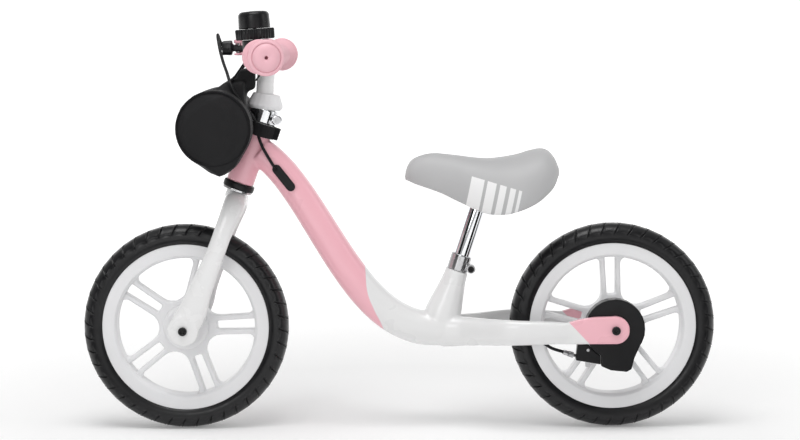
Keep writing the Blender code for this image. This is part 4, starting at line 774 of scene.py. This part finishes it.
def foam_tyre():
    """The tyre round its axle: a full round section with the tread cut into its outer band."""
    section = np.radians(np.concatenate([np.linspace(-152, -84, 14), np.linspace(-82, 82, 67),
                                         np.linspace(84, 152, 14)]))
    around = np.linspace(0, 2 * math.pi, TREAD_BLOCKS * STEPS_PER_BLOCK, endpoint=False)
    power = 2 / 2.25
    cos_s, sin_s = np.cos(section), np.sin(section)
    radial = np.sign(cos_s) * np.abs(cos_s) ** power
    axial = np.sign(sin_s) * np.abs(sin_s) ** power
    place = np.abs(section) / TREAD_EDGE
    phase = around[:, None] * TREAD_BLOCKS / (2 * math.pi) - 0.38 * np.minimum(place, 1.2)[None, :] ** 1.6
    off_centre = np.abs((phase % 1.0) - 0.5)
    groove = np.exp(-(off_centre / 0.045) ** 4)
    lip = np.exp(-((off_centre - 0.085) / 0.030) ** 2) * 0.25
    scallop = 0.055 * np.cos(2 * math.pi * phase)
    tread = 1 / (1 + np.exp((place[None, :] - 1.0 + scallop) / 0.022))
    centre_rib = 1 / (1 + np.exp((0.16 - place[None, :]) / 0.02))
    inset = -TREAD_STEP * (1 - tread) - GROOVE_DEPTH * groove * tread * centre_rib
    inset += GROOVE_DEPTH * lip * tread * 0.7
    inset *= np.cos(section * 0.55)[None, :] ** 0.5
    ring_radius = 0.1275 + (0.0166 + inset) * radial[None, :]
    width = (0.0222 + inset) * axial[None, :]
    x = ring_radius * np.cos(around)[:, None]
    y = ring_radius * np.sin(around)[:, None]
    points = np.stack([x, y, width * np.ones_like(x)], axis=2).reshape(-1, 3)
    m, n = len(around), len(section)
    i, j = np.meshgrid(np.arange(m), np.arange(n), indexing='ij')
    here, there = i * n + j, ((i + 1) % m) * n + j
    nxt = (j + 1) % n
    quads = np.stack([here, there, there - j + nxt, here - j + nxt], axis=2).reshape(-1, 4)
    mesh = bpy.data.meshes.new("tyre")
    mesh.from_pydata(points.tolist(), [], quads.tolist())
    return mesh


for end, axle in (("front", FRONT_AXLE), ("rear", REAR_AXLE)):
    tyre = foam_tyre()
    tyre.transform(Matrix.Translation(axle) @ WHEEL_FACING)
    show(end + "_foam_tyre", tyre, foam, end + "_wheel", "foam_tyre", end + "_tyre")

# ------------------------------------------------------------------ axles and bolts
# A steel axle through each hub, spaced off the fork or the dropouts by plain steel sleeves, with a black
# socket cap bolt in each end.
bolt_black = grainy("bolt_black", (0.020, 0.020, 0.021), 0.32, metal=0.6)
for end, body in (("front", "fork_body"), ("rear", "frame_body")):
    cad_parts[end + "_axle"].material_slots[0].material = bright_steel
    for side in ("left", "right"):
        show(f"{end}_cap_bolt_{side}", remade(f"{end}_bolt_{side}", 0.0004, 4), bolt_black, body,
             "black_plastic", f"{end}_bolt_{side}")
        show(f"{end}_sleeve_{side}", remade(f"{end}_spacer_{side}", 0.0006, 8), bright_steel, body, "steel",
             f"{end}_spacer_{side}")

# ------------------------------------------------------------------ rear brake
# A band brake: pressed drum on the hub, a moulded black cover fixed behind the dropout, and a block at its
# front where the cable ends in a steel barrel.
show("brake_shell", remade("brake_cover", 0.0011, 8), satin_black, "frame_body", "black_plastic",
     "brake_cover")
show("brake_block", remade("brake_bracket", 0.0008, 6), satin_black, "frame_body", "black_plastic",
     "brake_bracket")
show("steel_drum", remade("brake_drum", 0.0010, 8), bright_steel, "rear_wheel", "steel", "brake_drum")
show("cable_end_barrel", remade("brake_adjuster", 0.0004, 3), bright_steel, "frame_body", "steel",
     "brake_adjuster")
for name in ("brake_band", "brake_arm", "brake_arm_pin"):
    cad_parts[name].material_slots[0].material = bright_steel

# The spring on the barrel: round wire in seven turns, steel.
CABLE_END = Vector((-0.2280, 0.0430, 0.1120))
end_direction = (CABLE_END - Vector((-0.2120, 0.0485, 0.1180))).normalized()
end_turn = end_direction.to_track_quat('Z', 'Y').to_matrix().to_4x4()


def tube(points, radius, sides=14, flat=None):
    """A closed tube along a line, with no twist; flat gives the thickness across a strap's face."""
    along = [(points[min(k + 1, len(points) - 1)] - points[max(k - 1, 0)]).normalized()
             for k in range(len(points))]
    across = along[0].orthogonal().normalized()
    work = bmesh.new()
    rows = []
    for point, direction in zip(points, along):
        across = (across - direction * across.dot(direction)).normalized()
        other = direction.cross(across)
        rows.append([work.verts.new(point + across * (radius * math.cos(a))
                                    + other * ((flat or radius) * math.sin(a)))
                     for a in np.linspace(0, 2 * math.pi, sides, endpoint=False)])
    lofted(work, rows)
    return built(work)


coil = [end_turn @ Vector((0.0036 * math.cos(t), 0.0036 * math.sin(t), 0.0086 + 0.0078 * t / (14 * math.pi)))
        + CABLE_END for t in np.linspace(0, 14 * math.pi, 168)]
show("barrel_spring", tube(coil, 0.00048, 8), bright_steel, "frame_body", "steel", "brake_spring")

# ------------------------------------------------------------------ brake cable
# Black sleeved cable, one run from the lever down behind the bag to the rubber plug in the beam, and on
# inside the beam and the left stay to the brake. The free run gives with the steering and the bar's height.
cable_black = grainy("cable_black", (0.010, 0.010, 0.011), 0.36, grain=2500, depth=0.00003, specular=0.25)
CABLE_RADIUS = 0.0022
from_lever = [(0.2500, -0.0515, 0.5370), (0.2535, -0.0505, 0.5460), (0.2555, -0.0460, 0.5530),
              (0.2545, -0.0370, 0.5470), (0.2500, -0.0200, 0.5300), (0.2440, 0.0000, 0.5140),
              (0.2375, 0.0210, 0.5010), (0.2320, 0.0350, 0.4870), (0.2250, 0.0410, 0.4730),
              (0.2150, 0.0385, 0.4580), (0.2055, 0.0320, 0.4460)]
to_plug = [(0.2055, 0.0320, 0.4460), (0.1993, 0.0250, 0.4350), (0.1968, 0.0245, 0.4250),
           (0.1945, 0.0244, 0.4140), (0.1900, 0.0243, 0.4000), (0.1838, 0.0246, 0.3880),
           (0.1776, 0.0250, 0.3775), (0.1742, 0.0248, 0.3718)]
in_frame = [(0.1740, 0.0248, 0.3715), (0.1690, 0.0225, 0.3645), (0.1600, 0.0170, 0.3535),
            (0.1300, 0.0140, 0.3160), (0.0970, 0.0140, 0.2620), (0.0560, 0.0145, 0.2030),
            (0.0080, 0.0165, 0.1560), (-0.0370, 0.0180, 0.1380), (-0.0750, 0.0190, 0.1350),
            (-0.1050, 0.0300, 0.1350), (-0.1400, 0.0500, 0.1370), (-0.1750, 0.0560, 0.1350),
            (-0.1960, 0.0540, 0.1280), (-0.2120, 0.0485, 0.1180), (-0.2280, 0.0430, 0.1120)]
loop = show("cable_loop", tube(smooth_line(from_lever, 6), CABLE_RADIUS), cable_black, None, "black_plastic",
            "brake_cable_upper")
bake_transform(loop)
drop = show("cable_drop", tube(smooth_line(to_plug, 6), CABLE_RADIUS), cable_black, None, "black_plastic",
            "brake_cable_upper")
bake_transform(drop)
show("cable_in_frame", tube(smooth_line(in_frame, 5), CABLE_RADIUS), cable_black, "frame_body",
     "black_plastic", "brake_cable_lower")
plug_rubber = grainy("plug_rubber", (0.011, 0.011, 0.012), 0.50, grain=1500, specular=0.22)
show("cable_plug", remade("cable_grommet", 0.0006, 5), plug_rubber, "frame_body", "rubber", "cable_grommet")

# ------------------------------------------------------------------ roll bag
# A barrel of coated black canvas with a stiffened, piped panel in each end, blown up as cloth so that its
# walls fill out between the seams. A flap and two webbing loops hang it from the bar, and a third strap
# goes round the top of the head tube.
canvas = surface("bag_canvas", 0.58, sheen=0.04, specular=0.20)
vary_colour(canvas, (0.011, 0.011, 0.012), 0.15, 25)
coords = node(canvas, "ShaderNodeTexCoord")
threads = []
for direction in ('X', 'Y', 'Z'):
    wave = node(canvas, "ShaderNodeTexWave", wave_type='BANDS', bands_direction=direction)
    wave.inputs["Scale"].default_value = 420
    wave.inputs["Distortion"].default_value = 0.4
    link(canvas, coords.outputs["Object"], wave.inputs["Vector"])
    threads.append(wave.outputs["Fac"])
weave = sum_of(canvas, 'ADD', sum_of(canvas, 'MULTIPLY', threads[0], threads[1]),
               sum_of(canvas, 'MULTIPLY', threads[1], threads[2]))
creases = place_noise(canvas, 26, 3)
add_bump(canvas, sum_of(canvas, 'ADD', sum_of(canvas, 'MULTIPLY', weave, 0.12), creases.outputs["Fac"]),
         0.5, 0.0016)
BAG_X, BAG_Z, BAG_HALF_LENGTH = 0.2515, 0.4260, 0.090
MOST_SWELL = 0.0032


def stuffed(name, voxel, held, swell):
    """A soft CAD node's mesh blown up as cloth, pinned where the test holds, no point moved past swell."""
    work = bpy.data.objects.new("work", remade(name, voxel, 4))
    scene.collection.objects.link(work)
    before = np.array([point.co for point in work.data.vertices])
    pins = work.vertex_groups.new(name="pins")
    pins.add([k for k, (x, y, z) in enumerate(before) if held(x, y, z)], 1.0, 'REPLACE')
    cloth = work.modifiers.new("cloth", 'CLOTH').settings
    cloth.quality = 6
    cloth.mass = 0.3
    cloth.tension_stiffness = cloth.compression_stiffness = 12
    cloth.shear_stiffness = 4
    cloth.bending_stiffness = 0.15
    cloth.use_pressure = True
    cloth.uniform_pressure_force = 4
    cloth.effector_weights.gravity = 0
    cloth.shrink_min = -0.02
    cloth.vertex_group_mass = "pins"
    for step in range(1, 21):
        scene.frame_set(step)
    blown = work.evaluated_get(bpy.context.evaluated_depsgraph_get()).data
    after = np.array([point.co for point in blown.vertices])
    scene.frame_set(1)
    move = after - before
    reach = np.linalg.norm(move, axis=1)
    move *= np.minimum(1, swell / np.maximum(reach, 1e-9))[:, None]
    mesh = work.data
    bpy.data.objects.remove(work)
    mesh.vertices.foreach_set("co", (before + move).ravel())
    smooth = bpy.data.objects.new("work", mesh)
    scene.collection.objects.link(smooth)
    smooth.modifiers.new("finer", 'SUBSURF').levels = 1
    ready = bpy.data.meshes.new_from_object(smooth.evaluated_get(bpy.context.evaluated_depsgraph_get()))
    bpy.data.objects.remove(smooth)
    return ready


def bag_seam(x, y, z):
    """The piped seams round both ends, the flap and tongue, and the hollow for head tube and cable."""
    from_axis = math.hypot(x - BAG_X, z - BAG_Z)
    return (abs(abs(y) - BAG_HALF_LENGTH) < 0.006 and from_axis > 0.046) or z > BAG_Z + 0.054 or x < 0.222


bag = show("canvas_bag", stuffed("bag", 0.0042, bag_seam, MOST_SWELL), canvas, "bar_body", "black_cloth",
           "bag")
webbing = surface("webbing", 0.75, sheen=0.05, specular=0.12)
vary_colour(webbing, (0.010, 0.010, 0.011), 0.2, 200)
coords = node(webbing, "ShaderNodeTexCoord")
wave = node(webbing, "ShaderNodeTexWave", wave_type='BANDS', bands_direction='DIAGONAL')
wave.inputs["Scale"].default_value = 260
link(webbing, coords.outputs["Object"], wave.inputs["Vector"])
add_bump(webbing, wave.outputs["Fac"], 0.5, 0.0003)
for side, way in (("left", 1), ("right", -1)):
    circle = [Vector((BAG_X + 0.0500 * math.cos(t), way * (BAG_HALF_LENGTH - 0.0008),
                      BAG_Z + 0.0505 * math.sin(t))) for t in np.linspace(0, 2 * math.pi, 73)]
    show("bag_piping_" + side, tube(circle, 0.0014, 10), webbing, "bar_body", "black_cloth")
    show("webbing_loop_" + side, remade("bag_strap_" + side, 0.0007, 4), webbing, "bar_body", "black_cloth",
         "bag_strap_" + side)
show("head_webbing", remade("head_strap", 0.0008, 5), webbing, "frame_body", "black_cloth", "head_strap")

# ------------------------------------------------------------------ seat
# Chromed steel post in a pinch ring, and a moulded foam saddle with a matt grey skin. Five slanted light
# stripes are printed low on each side.
POST_RADIUS = 0.0110
post = eased([(POST_RADIUS - 0.0015, 0.045), (POST_RADIUS, 0.045), (POST_RADIUS, 0.212),
              (POST_RADIUS - 0.0015, 0.212)], 0.0004)
show("chromed_post", turn(post, 72, SEAT_AT), chrome, "seat_body", "chrome", "seat_post")
show("seat_pinch_ring", remade("seat_clamp", 0.0006, 6), bright_steel, "frame_body", "steel", "seat_clamp")
show("seat_pinch_bolt", remade("seat_clamp_bolt", 0.0004, 3), bolt_black, "frame_body", "black_plastic",
     "seat_clamp_bolt")
pan_black = grainy("pan_black", (0.012, 0.012, 0.013), 0.5, specular=0.25)

# The pan is drawn in towards its middle, so that the foam laps over its edge.
pan = remade("seat_pan", 0.0018, 8)
pan_middle = Vector((-0.122, 0, 0.335))
pan.transform(Matrix.Translation(pan_middle) @ Matrix.Diagonal((0.80, 0.82, 0.75, 1))
              @ Matrix.Translation(-pan_middle))
show("moulded_pan", pan, pan_black, "seat_body", "black_plastic", "seat_pan")

saddle_skin = surface("saddle_skin", 0.50, specular=0.35)
coords = node(saddle_skin, "ShaderNodeTexCoord")
split = node(saddle_skin, "ShaderNodeSeparateXYZ")
link(saddle_skin, coords.outputs["Object"], split.inputs["Vector"])
X, Z = split.outputs["X"], split.outputs["Z"]
# Place along the row of stripes, measured square to their slant, and the line that cuts off their tops.
ROW_START, ROW_LENGTH = 0.175, 0.085
lean = sum_of(saddle_skin, 'MULTIPLY', sum_of(saddle_skin, 'SUBTRACT', Z, 0.335), 0.20)
slanted = sum_of(saddle_skin, 'ADD', X, lean)
along_row = sum_of(saddle_skin, 'DIVIDE', sum_of(saddle_skin, 'ADD', slanted, ROW_START), ROW_LENGTH)
top_line = sum_of(saddle_skin, 'ADD', sum_of(saddle_skin, 'MULTIPLY', X, 0.28), 0.3859)
below_top = sum_of(saddle_skin, 'LESS_THAN', Z, top_line)
STRIPES = [(-0.1689, -0.1647), (-0.1603, -0.1523), (-0.1471, -0.1376), (-0.1327, -0.1198), (-0.1153, -0.0969)]
row = node(saddle_skin, "ShaderNodeValToRGB")
row.color_ramp.interpolation = 'CONSTANT'
row.color_ramp.elements[0].color = (0, 0, 0, 1)
row.color_ramp.elements[1].color = (0, 0, 0, 1)
for start, end in STRIPES:
    row.color_ramp.elements.new((start + ROW_START) / ROW_LENGTH).color = (1, 1, 1, 1)
    row.color_ramp.elements.new((end + ROW_START) / ROW_LENGTH).color = (0, 0, 0, 1)
link(saddle_skin, along_row, row.inputs["Fac"])
printed = sum_of(saddle_skin, 'MULTIPLY', row.outputs["Color"], below_top)
skin_drift = place_noise(saddle_skin, 14)
skin = node(saddle_skin, "ShaderNodeMix", data_type='RGBA')
skin.inputs[6].default_value = (0.435, 0.435, 0.440, 1)
skin.inputs[7].default_value = (0.475, 0.475, 0.480, 1)
link(saddle_skin, skin_drift.outputs["Fac"], skin.inputs[0])
striped = node(saddle_skin, "ShaderNodeMix", data_type='RGBA')
striped.inputs[7].default_value = (0.80, 0.80, 0.80, 1)
link(saddle_skin, printed, striped.inputs[0])
link(saddle_skin, skin.outputs[2], striped.inputs[6])
link(saddle_skin, striped.outputs[2], saddle_skin.node_tree.nodes["Principled BSDF"].inputs["Base Color"])
vary_roughness(saddle_skin, 0.46, 0.56, 40)
add_bump(saddle_skin, place_noise(saddle_skin, 1300, 3).outputs["Fac"], 0.3, 0.00012)

# Nose to tail: the crown line, the lower edge and the half width, then the sections between them.
SEAT_TOP = [(-0.0088, 0.3538), (-0.0102, 0.3625), (-0.0136, 0.3715), (-0.0205, 0.3793), (-0.0351, 0.3852),
            (-0.0507, 0.3872), (-0.0695, 0.3855), (-0.0866, 0.3835), (-0.1054, 0.3810), (-0.1241, 0.3797),
            (-0.1397, 0.3809), (-0.1553, 0.3832), (-0.1694, 0.3863), (-0.1818, 0.3902), (-0.1974, 0.3932),
            (-0.2084, 0.3909), (-0.2178, 0.3807), (-0.2234, 0.3680)]
SEAT_EDGE = [(-0.0094, 0.3514), (-0.0150, 0.3494), (-0.0224, 0.3461), (-0.0340, 0.3423), (-0.0460, 0.3384),
             (-0.0608, 0.3330), (-0.0760, 0.3258), (-0.0943, 0.3173), (-0.1050, 0.3124), (-0.1170, 0.3083),
             (-0.1310, 0.3058), (-0.1500, 0.3065), (-0.1630, 0.3098), (-0.1751, 0.3141), (-0.1880, 0.3202),
             (-0.2000, 0.3280), (-0.2149, 0.3416), (-0.2233, 0.3571)]
SEAT_HALF = [0.0080, 0.0140, 0.0190, 0.0230, 0.0270, 0.0305, 0.0355, 0.0425, 0.0485, 0.0550, 0.0600, 0.0650,
             0.0670, 0.0678, 0.0655, 0.0595, 0.0440, 0.0220]
tops, edges, halves = (smooth_line([Vector((*pair, 0)) for pair in pairs], 4)
                       for pairs in (SEAT_TOP, SEAT_EDGE, [(half, 0) for half in SEAT_HALF]))
work = bmesh.new()
rows = []
for top, edge, half in zip(tops, edges, halves):
    tall, wide = (top - edge).length, half.x
    upright = (top - edge).normalized()
    section = []
    for angle in np.linspace(0, math.pi / 2, 15):
        section.append((wide * math.sin(angle) ** 0.86, 0.30 * tall + 0.70 * tall * math.cos(angle) ** 0.86))
    for angle in np.linspace(0, math.pi / 2, 8)[1:]:
        section.append((wide * (1 - 0.10 * (1 - math.cos(angle))), 0.30 * tall * (1 - math.sin(angle))))
    brim, wall = section[-1][0], min(0.008, 0.3 * wide)
    section += [(brim - 0.15 * wall, -0.0008), (brim - 0.5 * wall, -0.0014), (brim - 0.85 * wall, -0.0008),
                (brim - wall, 0.0010), (brim - wall - 0.0005, max(0.25 * tall, 0.003)),
                (0.6 * (brim - wall), 0.45 * tall), (0.0, 0.48 * tall)]
    around = section + [(-y, h) for y, h in section[-2:0:-1]]
    rows.append([work.verts.new((edge.x + upright.x * h, y, edge.y + upright.y * h)) for y, h in around])
lofted(work, rows)
saddle = show("saddle", built(work), saddle_skin, "seat_body", "grey_vinyl", "seat_cushion")
